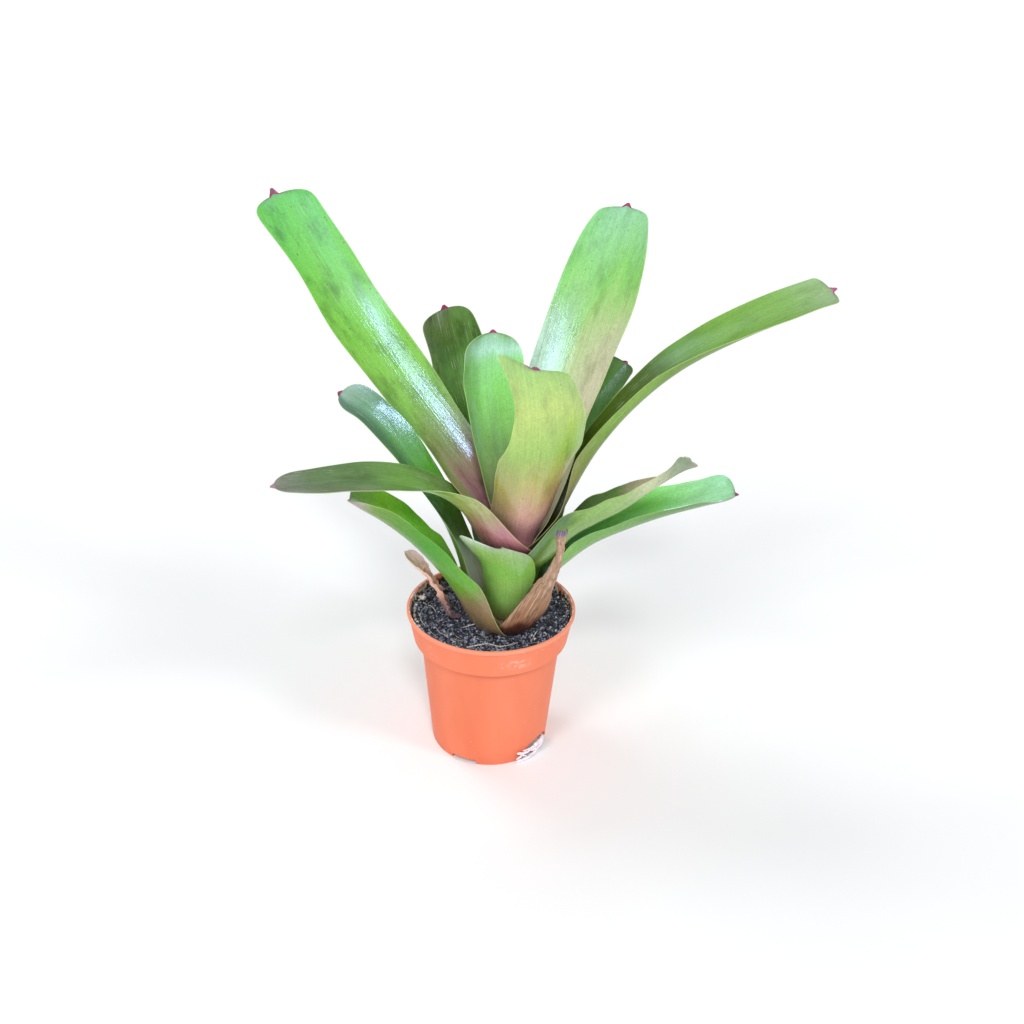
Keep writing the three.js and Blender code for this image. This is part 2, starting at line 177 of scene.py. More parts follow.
@contextmanager
def editing(piece: Piece) -> Iterator[None]:
    """Hold a piece in edit mode, with all of it selected at first.

    Args:
        piece: the piece to shape.
    """
    pick(piece)
    bpy.ops.object.mode_set(mode="EDIT")
    bpy.ops.mesh.select_all(action="SELECT")
    yield
    bpy.ops.object.mode_set(mode="OBJECT")


def named(name: str) -> Piece:
    """Name the object that was made last, and its mesh.

    Args:
        name: the new name.

    Returns:
        The object.
    """
    piece = bpy.context.object
    piece.name = piece.data.name = name
    return piece


def read_points(piece: Piece) -> Array:
    """Read where a mesh's points are.

    Args:
        piece: the object.

    Returns:
        One row for each point, in metres.
    """
    points = np.empty(len(piece.data.vertices) * 3, np.float32)
    piece.data.vertices.foreach_get("co", points)
    return points.reshape(-1, 3)


def move_points(piece: Piece, points: Array) -> None:
    """Move a mesh's points to places in millimetres."""
    piece.data.vertices.foreach_set("co", (points * MM).astype(np.float32).ravel())
    piece.data.update()


def woven_sheet(name: str, points: Array) -> Piece:
    """Lay a grid primitive over rows of points.

    Args:
        name: the new piece's name.
        points: rows by columns by three, in millimetres.

    Returns:
        The new object, whose vertices run along the columns first.
    """
    rows, columns = points.shape[:2]
    deselect()
    bpy.ops.mesh.primitive_grid_add(x_subdivisions=columns - 1, y_subdivisions=rows - 1, size=1)
    piece = named(name)
    move_points(piece, points)
    return piece


def pulled_disc(name: str, rings: Sequence[Span], sides: int, unit: float) -> Piece:
    """Pull a shape up from a round ring, ring by ring, and close the last one.

    Args:
        name: the new piece's name.
        rings: the radius and height of each ring.
        sides: corners on each ring.
        unit: how many metres a size of 1 is.

    Returns:
        The shape, open at its first ring.
    """
    deselect()
    radius, z = rings[0]
    bpy.ops.mesh.primitive_circle_add(
        vertices=sides, radius=radius * unit, location=(0, 0, z * unit), fill_type="NOTHING"
    )
    bpy.ops.object.transform_apply(location=True, rotation=False, scale=False)
    disc = named(name)
    with editing(disc):
        for wider, higher in rings[1:]:
            bpy.ops.mesh.extrude_region_move(TRANSFORM_OT_translate={"value": (0, 0, (higher - z) * unit)})
            bpy.ops.transform.resize(value=(wider / radius, wider / radius, 1), center_override=(0, 0, 0))
            radius, z = wider, higher
        bpy.ops.mesh.edge_face_add()
    return disc


def close_up(piece: Piece) -> Piece:
    """Merge a piece's doubled seams and poles, and turn its faces outwards.

    Args:
        piece: the piece to close.

    Returns:
        The same piece.
    """
    with editing(piece):
        bpy.ops.mesh.remove_doubles(threshold=SEAM_MERGE)
        bpy.ops.mesh.dissolve_degenerate(threshold=SLIVER)
        bpy.ops.mesh.normals_make_consistent(inside=False)
    return piece


def face_outwards(piece: Piece) -> None:
    """Flip every face of a closed mesh whose signed volume is below 0.

    Args:
        piece: the closed piece.
    """
    mesh = piece.data
    mesh.calc_loop_triangles()
    corners = np.empty(len(mesh.loop_triangles) * 3, np.int32)
    mesh.loop_triangles.foreach_get("vertices", corners)
    a, b, c = read_points(piece)[corners.reshape(-1, 3)].astype(float).transpose(1, 0, 2)
    if np.einsum("ij,ij->i", a, np.cross(b, c)).sum() < 0:
        with editing(piece):
            bpy.ops.mesh.flip_normals()


def smooth(piece: Piece, angle: float) -> None:
    """Shade a piece smooth, but for edges sharper than an angle in degrees."""
    pick(piece)
    bpy.ops.object.shade_smooth_by_angle(angle=math.radians(angle))


def modify(piece: Piece, kind: str, **settings: object) -> None:
    """Change a piece by one modifier and apply it.

    Args:
        piece: the piece to change.
        kind: the modifier's type.
        settings: the modifier's own settings.
    """
    pick(piece)
    modifier = piece.modifiers.new(kind.lower(), kind)
    for key, value in settings.items():
        setattr(modifier, key, value)
    bpy.ops.object.modifier_apply(modifier=modifier.name)


def carve(piece: Piece, tool: Piece) -> None:
    """Cut a tool's shape out of a piece and delete the tool."""
    modify(piece, "BOOLEAN", operation="DIFFERENCE", solver="EXACT", object=tool)
    bpy.data.objects.remove(tool, do_unlink=True)


def give(piece: Piece, name: str, values: Array) -> None:
    """Keep one number, or three, for each vertex as a named attribute.

    Args:
        piece: the piece.
        name: the attribute's name.
        values: one number or one row for each vertex.
    """
    kind, key = ("FLOAT", "value") if values.ndim == 1 else ("FLOAT_VECTOR", "vector")
    layer = piece.data.attributes.new(name, kind, "POINT")
    layer.data.foreach_set(key, values.astype(np.float32).ravel())


def joined(pieces: list[Piece], name: str) -> Piece:
    """Join pieces into one object under a new name.

    Args:
        pieces: two or more objects.
        name: the whole's name.

    Returns:
        The whole.
    """
    pick(*pieces)
    bpy.ops.object.join()
    return named(name)


def dress(piece: Piece, material: Material, slot: Slot, *nodes: str) -> None:
    """Give a finished piece its material, its body and the solid that it stands for.

    Args:
        piece: the finished object.
        material: its finish.
        slot: what it is made of; not used.
        nodes: solids that it takes the place of.
    """
    piece.data.materials.clear()
    piece.data.materials.append(material)
    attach(piece, "root")
    if nodes:
        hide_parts(*nodes)
    LOG.info("%s: %d faces", piece.name, len(piece.data.polygons))


def tube(path: Array, radii: Array, sides: int) -> Piece:
    """Draw a closed round strand along a path.

    Args:
        path: points in millimetres.
        radii: the strand's radius at each point.
        sides: faces round it.

    Returns:
        The strand.
    """
    ahead = np.gradient(path, axis=0)
    ahead /= np.linalg.norm(ahead, axis=1, keepdims=True)
    upright = abs(ahead[:, 2]).mean() >= 0.8
    side = np.cross(ahead, np.array([1.0, 0, 0] if upright else [0.0, 0, 1]))
    side /= np.linalg.norm(side, axis=1, keepdims=True)
    up = np.cross(side, ahead)
    turn = np.linspace(0, math.tau, sides + 1)
    ring = side[:, None] * np.cos(turn)[None, :, None] + up[:, None] * np.sin(turn)[None, :, None]
    rows = path[:, None] + ring * np.asarray(radii)[:, None, None]
    ends = [np.repeat(path[i][None, None], sides + 1, 1) for i in (0, -1)]
    return close_up(woven_sheet("strand", np.concatenate([ends[0], rows, ends[1]])))


def aimed(thing: Piece, across: Array, up: Array, back: Array, place: Array) -> Piece:
    """Put a lamp or a camera into the scene, turned along three directions.

    Args:
        thing: the new object.
        across: its own X.
        up: its own Y.
        back: its own Z, away from what it looks at.
        place: where it stands, in metres.

    Returns:
        The same object.
    """
    turned = np.eye(4)
    turned[:3, 0], turned[:3, 1], turned[:3, 2], turned[:3, 3] = across, up, back, place
    bpy.context.collection.objects.link(thing)
    thing.matrix_world = Matrix(turned.tolist())
    return thing


# ---------------------------------------------------------------- node helpers
class Wiring:
    """A short way to wire up a material's or a group's node tree."""

    def __init__(self, tree: bpy.types.NodeTree) -> None:
        """Keep the tree that nodes are added to."""
        self.tree = tree

    def put(self, socket: Socket, value: object) -> None:
        """Link a socket to another node's socket, or set its value.

        Args:
            socket: the input to fill.
            value: an output, a screen colour or a plain value.
        """
        if isinstance(value, Socket):
            self.tree.links.new(value, socket)
        else:
            socket.default_value = linear(value) if isinstance(value, str) else value

    def node(self, kind: str, inputs: Inputs | None = None, **settings: object) -> bpy.types.Node:
        """Add a node and fill its inputs.

        Args:
            kind: the node's type.
            inputs: what goes into its inputs, by their names or numbers.
            settings: the node's own settings.

        Returns:
            The node.
        """
        made = self.tree.nodes.new(kind)
        for key, value in settings.items():
            setattr(made, key, value)
        for key, value in (inputs or {}).items():
            self.put(made.inputs[key], value)
        return made

    def math(self, operation: str, a: object, b: object = 0.0, clamp: bool = False) -> Socket:
        """Work out a number from two, kept from 0 to 1 where clamp says so."""
        return self.node("ShaderNodeMath", {0: a, 1: b}, operation=operation, use_clamp=clamp).outputs[0]

    def times(self, *values: object) -> Socket:
        """Multiply numbers, from the first to the last."""
        return reduce(lambda a, b: self.math("MULTIPLY", a, b), values)

    def plus(self, *values: object) -> Socket:
        """Add numbers up, from the first to the last."""
        return reduce(lambda a, b: self.math("ADD", a, b), values)

    def wander(self, value: object, noise: object, reach: float) -> Socket:
        """Move a value up and down by a noise, as far as a reach in all."""
        return self.plus(value, self.times(self.math("SUBTRACT", noise, 0.5), reach))

    def mix(self, share: object, a: object, b: object, blend: str = "MIX") -> Socket:
        """Mix a share of colour b into colour a."""
        inputs = {0: share, 6: a, 7: b}
        return self.node("ShaderNodeMix", inputs, data_type="RGBA", blend_type=blend).outputs[2]

    def over(self, colour: object, paint: object, *shares: object) -> Socket:
        """Lay a paint over a colour as far as all shares together let it."""
        return self.mix(self.times(*shares), colour, paint)

    def ramp(self, value: object, stops: Stops) -> Socket:
        """Read a colour from stops along a line.

        Args:
            value: where to read.
            stops: places and colours.

        Returns:
            The colour.
        """
        made = self.node("ShaderNodeValToRGB", {0: value})
        line = made.color_ramp.elements
        for i, (place, colour) in enumerate(stops):
            stop = line[i] if i < 2 else line.new(place)
            stop.position, stop.color = place, linear(colour)
        return made.outputs[0]

    def remap(self, value: object, low: float, high: float, out: Span = (0, 1)) -> Socket:
        """Go smoothly from one output to another between two limits of a value."""
        inputs = dict(enumerate((value, low, high, *out)))
        return self.node("ShaderNodeMapRange", inputs, interpolation_type="SMOOTHSTEP").outputs[0]

    def fade(self, value: object, span: Span) -> Socket:
        """Go smoothly from 0 at a span's first limit to 1 at its second, whichever is higher."""
        return self.remap(value, *sorted(span), (0, 1) if span[0] < span[1] else (1, 0))

    def attribute(self, name: str, vector: bool = False) -> Socket:
        """Read a named attribute as a number or a vector."""
        return self.node("ShaderNodeAttribute", attribute_name=name).outputs["Vector" if vector else "Fac"]

    def place(self) -> Socket:
        """Read the place on the object, in metres."""
        return self.node("ShaderNodeTexCoord").outputs["Object"]

    def scaled(self, vector: object, scale: float | Spot) -> Inputs:
        """Say where a pattern is read and how fine it is, the same all ways or along each axis.

        Args:
            vector: the place.
            scale: one scale or three.

        Returns:
            The pattern's first inputs.
        """
        if isinstance(scale, tuple):
            stretch = self.node("ShaderNodeMapping", {"Vector": vector, "Scale": scale})
            vector, scale = stretch.outputs[0], 1.0
        return {"Vector": vector, "Scale": scale}

    def noise(self, vector: object, scale: float | Spot, detail: float = 3.0, rough: float = 0.5) -> Socket:
        """Read cloudy noise from 0 to 1, with as many finer layers as detail says."""
        inputs = {**self.scaled(vector, scale), "Detail": detail, "Roughness": rough}
        return self.node("ShaderNodeTexNoise", inputs).outputs[0]

    def cells(self, vector: object, scale: float | Spot) -> tuple[Socket, Socket]:
        """Read the distance to the nearest of many scattered points, and that point's random number."""
        made = self.node("ShaderNodeTexVoronoi", self.scaled(vector, scale)).outputs
        return made["Distance"], self.parts(made["Color"])[0]

    def parts(self, vector: object) -> bpy.types.NodeOutputs:
        """Split a vector in three."""
        return self.node("ShaderNodeSeparateXYZ", {0: vector}).outputs

    def bump(self, height: object, distance: float, strength: float = 1.0) -> Socket:
        """Tilt the shading by a height, where a height of 1 is the distance in metres."""
        inputs = {"Strength": strength, "Distance": distance, "Height": height}
        return self.node("ShaderNodeBump", inputs).outputs[0]

    def cover(self, surface: bpy.types.Node, colour: object, rough: object, normal: object) -> None:
        """Give a surface its colour, roughness and normal."""
        for key, value in (("Base Color", colour), ("Roughness", rough), ("Normal", normal)):
            self.put(surface.inputs[key], value)


def new_group(
    name: str, takes: dict[str, str], gives: dict[str, str]
) -> tuple[Wiring, bpy.types.NodeOutputs, bpy.types.NodeInputs]:
    """Start a shared effect.

    Args:
        name: the effect's name.
        takes: its inputs, by name and kind.
        gives: its outputs, by name and kind.

    Returns:
        The wiring, the input sockets inside, and the output sockets inside.
    """
    tree = bpy.data.node_groups.new(name, "ShaderNodeTree")
    for sockets, direction in ((takes, "INPUT"), (gives, "OUTPUT")):
        for key, kind in sockets.items():
            tree.interface.new_socket(name=key, in_out=direction, socket_type=f"NodeSocket{kind}")
    wiring = Wiring(tree)
    return wiring, wiring.node("NodeGroupInput").outputs, wiring.node("NodeGroupOutput").inputs


def new_material(
    name: str, specular: float = 0.5, sheen: str = "ffffff", bend: float = 1.5
) -> tuple[Material, Wiring, bpy.types.Node]:
    """Start a material with one principled surface.

    Args:
        name: the material's name.
        specular: how strong its plain gloss is.
        sheen: the colour of its plain gloss.
        bend: its index of refraction.

    Returns:
        The material, its wiring and its surface node.
    """
    material = bpy.data.materials.new(name)
    material.use_nodes = True
    surface = material.node_tree.nodes["Principled BSDF"]
    surface.inputs["Specular IOR Level"].default_value = specular
    surface.inputs["Specular Tint"].default_value = linear(sheen)
    surface.inputs["IOR"].default_value = bend
    return material, Wiring(material.node_tree), surface


# ---------------------------------------------------------------- leaf finishes
@dataclass(frozen=True)
class Tint:
    """A colour that lies over part of a leaf.

    along and across each give where it starts and where it is full, so either may run
    backwards. Without across it lies over the whole width.
    """

    colour: str
    share: float
    along: Span
    across: Span | None = None
    face: Face = Face.BOTH


@dataclass(frozen=True)
class LeafFinish:
    """How one leaf is coloured, from its base to its tip, on each side."""

    inner: Stops
    outer: Stops
    tints: tuple[Tint, ...] = ()
    mottle: float = 0.22
    scales: float = 0.25
    specks: float = 0.3
    gloss: float = 0.3
    matte: Span = (2.0, 3.0)
    shine: float = 0.85
    mucro: str = "8c2f52"


@dataclass(frozen=True)
class DryFinish:
    """How a dried leaf is coloured along its length, and the colour of its fibres."""

    stops: Stops
    fibre: str
    dark: str = "5a3424"


@dataclass
class LeafSkin:
    """The skin of the living leaves.

    Patterns hold how fine they are across, along and between leaves, per metre.
    """

    fibre: Spot = (1500, 26, 1)
    grain: Spot = (640, 420, 1)
    dots: Spot = (1300, 900, 1)
    ribs: Spot = (420, 9, 1)
    clouds: Spot = (90, 38, 1)
    speck_cells: Spot = (420, 260, 1)
    speck_patches: Spot = (55, 30, 1)
    streaks: Spot = (1100, 16, 1)
    bands: Spot = (60, 120, 1)
    drift: Spot = (70, 14, 1)
    margin: Span = (0.972, 0.995)
    brim: Span = (0.976, 0.988)
    tip: Span = (0.9865, 0.9895)
    relief: float = 0.00013
    added_matte: float = 0.22
    blend_along: float = 0.12
    blend_across: float = 0.5

    def __post_init__(self) -> None:
        """Build the shared group once."""
        self.tree = self.shared()

    def shared(self) -> bpy.types.NodeTree:
        """Wire fibres, mottles, silvery scales, dark specks, a margin paled as painted glow of light shining
        through it, and the coloured tip.

        Returns:
            The shared effect's tree.
        """
        w, i, o = new_group(
            "leaf_skin",
            {
                "Colour": "Color", "Mottle": "Float", "Scales": "Float", "Specks": "Float", "Gloss": "Float",
                "Mucro": "Color",
            },
            {"Colour": "Color", "Roughness": "Float", "Height": "Float"},
        )
        skin = w.attribute("skin", vector=True)
        along, across = w.attribute("along"), w.attribute("across")
        fibre, ribs = w.noise(skin, self.fibre, 2), w.noise(skin, self.ribs, 2)
        dots = w.noise(skin, self.dots, 1)
        grain, clouds = w.noise(skin, self.grain, 2, 0.55), w.noise(skin, self.clouds, 4, 0.6)
        colour = w.mix(w.times(w.remap(clouds, 0.45, 0.75), i["Mottle"]), i["Colour"], "a8a478", "MULTIPLY")
        layers = ((fibre, (0.95, 1.05)), (ribs, (0.97, 1.03)), (dots, (0.93, 1.07)), (grain, (0.95, 1.05)))
        bright = w.times(*(w.remap(layer, 0.3, 0.7, out) for layer, out in layers))
        grey = w.node("ShaderNodeCombineColor", dict.fromkeys(range(3), bright)).outputs[0]
        colour = w.mix(1.0, colour, grey, "MULTIPLY")

        distance, random = w.cells(skin, self.speck_cells)
        speck = w.remap(w.plus(distance, w.times(dots, 0.3)), 0.3, 0.4, (1, 0))
        speck = w.times(speck, w.math("GREATER_THAN", random, 0.8))
        patches = w.remap(w.noise(skin, self.speck_patches, 1), 0.44, 0.6)
        colour = w.over(colour, "6a5228", speck, patches, i["Specks"])
        streak = w.remap(w.noise(skin, self.streaks, 3, 0.65), 0.56, 0.72)
        silver = w.times(streak, w.remap(w.noise(skin, self.bands, 2), 0.4, 0.7), i["Scales"])
        colour = w.over(colour, "c4d0b0", silver)
        # Painted light: the margins are paled yellow-green as the glow of light shining through the thin
        # edge.
        colour = w.over(colour, "dcec9a", w.remap(w.math("ABSOLUTE", across), *self.margin), 0.3)
        colour = w.over(colour, "7c8068", w.remap(along, *self.brim), 0.3)
        colour = w.over(colour, i["Mucro"], w.remap(along, *self.tip), 0.95)

        rough = w.plus(i["Gloss"], w.remap(ribs, 0.3, 0.75, (-0.13, -0.04)))
        rough = w.math("ADD", rough, w.times(silver, 0.2), clamp=True)
        height = w.plus(w.times(fibre, 0.6), w.times(ribs, 1.1), grain)
        for key, value in (("Colour", colour), ("Roughness", rough), ("Height", height)):
            w.put(o[key], value)
        return w.tree

    def tint(self, w: Wiring, tint: Tint, along: Socket, across: Socket, inner: Socket) -> Socket:
        """Find how much of a tint there is at a place.

        Args:
            w: the material's wiring.
            tint: the tint.
            along: the place along the leaf.
            across: the place across it.
            inner: 1 on the inner face.

        Returns:
            A share from 0 to 1.
        """
        share = w.fade(along, tint.along)
        if tint.across:
            share = w.times(share, w.fade(across, tint.across))
        if tint.face is Face.INNER:
            return w.times(share, inner)
        return share if tint.face is Face.BOTH else w.times(share, w.math("SUBTRACT", 1.0, inner))

    def material(self, name: str, finish: LeafFinish) -> Material:
        """Make one leaf's material.

        Args:
            name: the material's name.
            finish: the leaf's colours.

        Returns:
            The material.
        """
        material, w, surface = new_material(name, specular=finish.shine, sheen="bcd2ff", bend=1.6)
        drift = w.noise(w.attribute("skin", vector=True), self.drift)
        along = w.wander(w.attribute("along"), drift, self.blend_along)
        across = w.wander(w.attribute("across"), drift, self.blend_across)
        inner = w.remap(w.attribute("inner"), 0.35, 0.65)
        colour = w.mix(inner, w.ramp(along, finish.outer), w.ramp(along, finish.inner))
        for tint in finish.tints:
            colour = w.over(colour, tint.colour, self.tint(w, tint, along, across, inner), tint.share)
        gloss = w.remap(along, *finish.matte, (finish.gloss, finish.gloss + self.added_matte))
        inputs = {
            "Colour": colour, "Mottle": finish.mottle, "Scales": finish.scales, "Specks": finish.specks,
            "Gloss": gloss, "Mucro": finish.mucro,
        }
        out = w.node("ShaderNodeGroup", inputs, node_tree=self.tree).outputs
        w.cover(surface, out["Colour"], out["Roughness"], w.bump(out["Height"], self.relief))
        return material


@dataclass
class DrySkin:
    """The dry, fibrous skin of the dead leaves, with patterns as on the living ones."""

    fibre: Spot = (1300, 34, 1)
    coarse: Spot = (340, 60, 1)
    clouds: Spot = (110, 70, 1)
    relief: float = 0.0006

    def material(self, name: str, finish: DryFinish) -> Material:
        """Make a dead leaf's material.

        Args:
            name: the material's name.
            finish: its colours.

        Returns:
            The material.
        """
        material, w, surface = new_material(name, specular=0.3)
        skin, along = w.attribute("skin", vector=True), w.attribute("along")
        fibre, coarse = w.noise(skin, self.fibre, 4, 0.65), w.noise(skin, self.coarse, 4, 0.6)
        colour = w.ramp(w.wander(along, w.noise(skin, self.clouds), 0.35), finish.stops)
        light = w.remap(fibre, 0.46, 0.64), w.remap(along, 0.08, 0.26, (0.05, 0.5))
        dark = w.remap(coarse, 0.34, 0.5, (1, 0)), 0.65, w.remap(along, 0.1, 0.75, (1, 0.3))
        colour = w.over(w.over(colour, finish.fibre, *light), finish.dark, *dark)
        height = w.plus(w.times(fibre, 0.5), coarse)
        w.cover(surface, colour, w.remap(coarse, 0.3, 0.7, (0.5, 0.8)), w.bump(height, self.relief, 0.9))
        return material


# ---------------------------------------------------------------- leaves
@dataclass(frozen=True)
class StemLine:
    """The stem's taper and lean, which every leaf base follows."""

    lean: float = -7.0
    straight_above: float = 60.0
    foot: float = -16.0
    top: float = 57.0
    foot_radius: float = 20.0
    top_radius: float = 4.0
    first_leaf: float = 1.5
    leaf_step: float = 3.6
    clearance: float = 1.1
    slope: float = 0.5
    sheath_steps: Spot = (0, 12, 24)
    lets_go: Span = (28, 48)
    most_wrap: float = 2.0

    def radius(self, height: Array | float) -> Array | float:
        """Give the stem's radius at a height above the soil."""
        taper = (self.top_radius - self.foot_radius) * (height - self.foot)
        return self.foot_radius + taper / (self.top - self.foot)

    def shift(self, height: Array) -> Array:
        """Give how far the stem leans at a height."""
        return self.lean * np.maximum(1 - height / self.straight_above, 0) ** 2

    def sheath(self, place: int) -> list[Span]:
        """Give the reach and height of the lowest points of the leaf at a place in the order from below."""
        foot, steps = self.first_leaf + place * self.leaf_step, self.sheath_steps
        return [(self.radius(foot + s) + self.clearance + self.slope * s, foot + s) for s in steps]


STEM_LINE = StemLine()


@dataclass(frozen=True)
class Dent:
    """A local push on a blade, fading away round a place on it.

    at and size are shares of the length and of the half width. push is in millimetres:
    to the leaf's left, up off its inner face, and towards its tip.
    """

    at: Span
    size: Span
    push: Spot

    def share(self, s: Array, u: Array) -> Array:
        """Give how much of the push there is at each place."""
        return np.exp(-(((s - self.at[0]) / self.size[0]) ** 2) - ((u - self.at[1]) / self.size[1]) ** 2)


@dataclass(frozen=True)
class Leaf:
    """One strap leaf, in millimetres and degrees.

    It stands in an upright plane at its azimuth, anticlockwise from +X as seen from above.
    spine holds reach, height above the soil and sideways drift. half and curl hold one value
    for both halves or a pair for the right and the left, as seen from the stem. dents push
    the blade before its base is wrapped round the stem, and flares push it afterwards.
    waves, puckers and folds each hold a nominal length of the blade and how far apart they are.
    """

    name: str
    azimuth: float
    spine: tuple[tuple[float, ...], ...]
    half: tuple[float | Span, ...]
    curl: tuple[Span, ...]
    finish: LeafFinish | DryFinish
    place: int = 0
    roll: tuple[float, ...] = (0.0, 0.0)
    tip: float = 0.1
    skew: float = 0.0
    square: float = 2.6
    dents: tuple[Dent, ...] = ()
    flares: tuple[Dent, ...] = ()
    root: tuple[Span, ...] | None = None
    slot: Slot = Slot.LEAF
    wave: float = 1.4
    pucker: float = 0.0
    crumple: float = 0.0
    rows: int = 130
    tip_rows: int = 22
    point_rows: int = 4
    columns: int = 28
    crowding: float = 0.8
    thick: float = 1.1
    margin: float = 0.45
    point: float = 0.011
    point_width: float = 3.1
    blunt: float = 0.25
    waves: Span = (260, 19)
    puckers: Span = (90, 3.2)
    folds: Span = (130, 2.6)
    wavy: tuple[Span, Span] = ((0.35, 0.55), (0.93, 1.0))
    crumpled_to: Span = (0.82, 0.95)
    groove_depth: float = 0.35
    groove_width: float = 0.12

    def line(self) -> Array:
        """Give reach, drift and height along the whole line, from the foot of the sheath to the tip."""
        start = () if self.slot is Slot.DEAD_LEAF else self.root or STEM_LINE.sheath(self.place)
        return np.array([(p[0], p[2] if len(p) > 2 else 0.0, p[1]) for p in (*start, *self.spine)])

    def widths(self, values: tuple, s: Array, u: Array) -> Array:
        """Read a list of halves at every place of the blade."""
        pairs = np.array([v if isinstance(v, tuple) else (v, v) for v in values], float)
        return np.where(u < 0, curve_through(pairs[:, 0], s), curve_through(pairs[:, 1], s))

    def tip_share(self, s: Array) -> Array:
        """Give the share of the width that is left near the blunt tip."""
        x = np.clip((s - (1 - self.tip)) / (self.tip - self.point), 0, 1)
        return (1 - x**self.square) ** (1 / 2.2)

    def directions(self, s: Array) -> tuple[Array, Array, Array]:
        """Find which way the blade runs at each row.

        Args:
            s: shares of the length.

        Returns:
            The ways ahead, to the leaf's left, and off its inner face.
        """
        line = self.line()
        ahead = curve_through(line, np.minimum(s + 0.01, 1)) - curve_through(line, np.maximum(s - 0.01, 0))
        ahead /= np.linalg.norm(ahead, axis=1, keepdims=True)
        side = np.array([0.0, 1, 0]) - ahead * ahead[:, 1:2]
        side /= np.linalg.norm(side, axis=1, keepdims=True)
        turn = np.radians(curve_through(self.roll, s))[:, None]
        side = side * np.cos(turn) + np.cross(ahead, side) * np.sin(turn)
        return ahead, side, np.cross(ahead, side)

    def surface(self, s: Array, u: Array) -> Array:
        """Find the middle surface.

        Args:
            s: shares of the length, one for each row.
            u: places across, from -1 to 1.

        Returns:
            Rows by columns of points in the stem's frame.
        """
        p = curve_through(self.line(), s)
        ahead, side, inward = self.directions(s)
        s2, u2 = s[:, None], u[None, :]
        least = self.point_width * np.minimum(1, self.blunt + (1 - self.blunt) * (1 - s2) / self.point)
        full = self.widths(self.half, s2, u2)
        half = np.maximum(full * self.tip_share(s2), least)
        curl = np.radians(self.widths(self.curl, s2, u2))
        out = (half / curl) * np.sin(curl * u2)
        lift = (half / curl) * (1 - np.cos(curl * u2)) + self.ripple(s2, u2)
        wide = half / full
        slide = self.skew * u2 * s2**8 * wide
        for dent in self.dents:
            share = dent.share(s2, u2)
            out, lift, slide = (v + push * share * wide for v, push in zip((out, lift, slide), dent.push))
        free = p[:, None] + side[:, None] * out[..., None] + inward[:, None] * lift[..., None]
        free = free + ahead[:, None] * slide[..., None]
        reach = p[:, 0:1]
        wrap = u2 * np.minimum(half / reach, STEM_LINE.most_wrap)
        cone = np.stack([reach * np.cos(wrap), reach * np.sin(wrap) + p[:, 1:2], p[:, 2:3] + 0 * wrap], -1)
        share = step_between(*STEM_LINE.lets_go, reach)[..., None]
        point = cone * (1 - share) + free * share
        for flare in self.flares:
            push = side * flare.push[0] + inward * flare.push[1] + ahead * flare.push[2]
            point = point + push[:, None] * flare.share(s2, u2)[..., None]
        x, y, z = np.moveaxis(point, -1, 0)
        a = math.radians(self.azimuth)
        turned = x * math.cos(a) - y * math.sin(a), x * math.sin(a) + y * math.cos(a)
        return np.stack([turned[0] + STEM_LINE.shift(z), turned[1], z], -1)

    def ripple(self, s: Array, u: Array) -> Array:
        """Lift the margins in small waves, and crumple a dry leaf all over.

        Args:
            s: shares of the length.
            u: places across.

        Returns:
            How far each place is lifted.
        """
        seed = int(self.azimuth * 7 + self.place)
        if self.crumple:
            length, apart = s * self.folds[0], self.folds[1]
            folds = lumps(length, u * 14 + 0 * s, apart, seed + 1) * 0.6
            folds = folds + lumps(length * 0.35, u * 9 + 0 * s, apart / 2, seed + 2)
            return self.crumple * folds * (1 - step_between(*self.crumpled_to, s))
        rising, falling = self.wavy
        free = step_between(*rising, s) * (1 - step_between(*falling, s))
        length, apart = s * self.waves[0], self.waves[1]
        wave = np.abs(u) ** 3 * free * self.wave * lumps(length + 40 * (u > 0), 0 * u + seed, apart, seed)
        groove = -self.groove_depth * np.exp(-((u / self.groove_width) ** 2)) * free
        if self.pucker:
            length, apart = s * self.puckers[0], self.puckers[1]
            groove = groove + self.pucker * free * lumps(length + 4 * u, u * 5 + 0 * s, apart, seed + 5)
        return wave + groove

    def thicken(self, piece: Piece, s: Array, u: Array) -> None:
        """Give the sheet its thickness, which is less at the margins and near the tip.

        Args:
            piece: the sheet.
            s: shares of the length, one for each row.
            u: places across.
        """
        weight = 1 - (1 - self.margin / self.thick) * np.tile(u, len(s)) ** 2
        weight = (weight * (1 - 0.4 * step_between(0.95, 1, np.repeat(s, len(u))))).round(2)
        group = piece.vertex_groups.new(name="full")
        for level in np.unique(weight):
            group.add([int(k) for k in np.nonzero(weight == level)[0]], float(level), "REPLACE")
        modify(
            piece, "SOLIDIFY", thickness=self.thick * MM, offset=0, vertex_group="full",
            thickness_vertex_group=0.0,
        )
        piece.vertex_groups.clear()

    def skin_map(self, points: Array) -> Array:
        """Measure the blade across and along its surface, for patterns that follow it.

        Args:
            points: rows by columns of points.

        Returns:
            One row for each point: across and along in metres, and a number of the leaf's own.
        """
        rows, columns = points.shape[:2]
        middle = columns // 2
        length = np.cumsum(np.linalg.norm(np.diff(points[:, middle], axis=0), axis=1))
        breadth = np.linalg.norm(np.diff(points, axis=1), axis=2)
        width = np.concatenate([np.zeros((rows, 1)), np.cumsum(breadth, axis=1)], axis=1)
        width -= width[:, middle][:, None]
        along = np.repeat(np.concatenate([[0.0], length]), columns)
        return np.stack([width.ravel() * MM, along * MM, np.full(rows * columns, self.azimuth * 0.37)], -1)

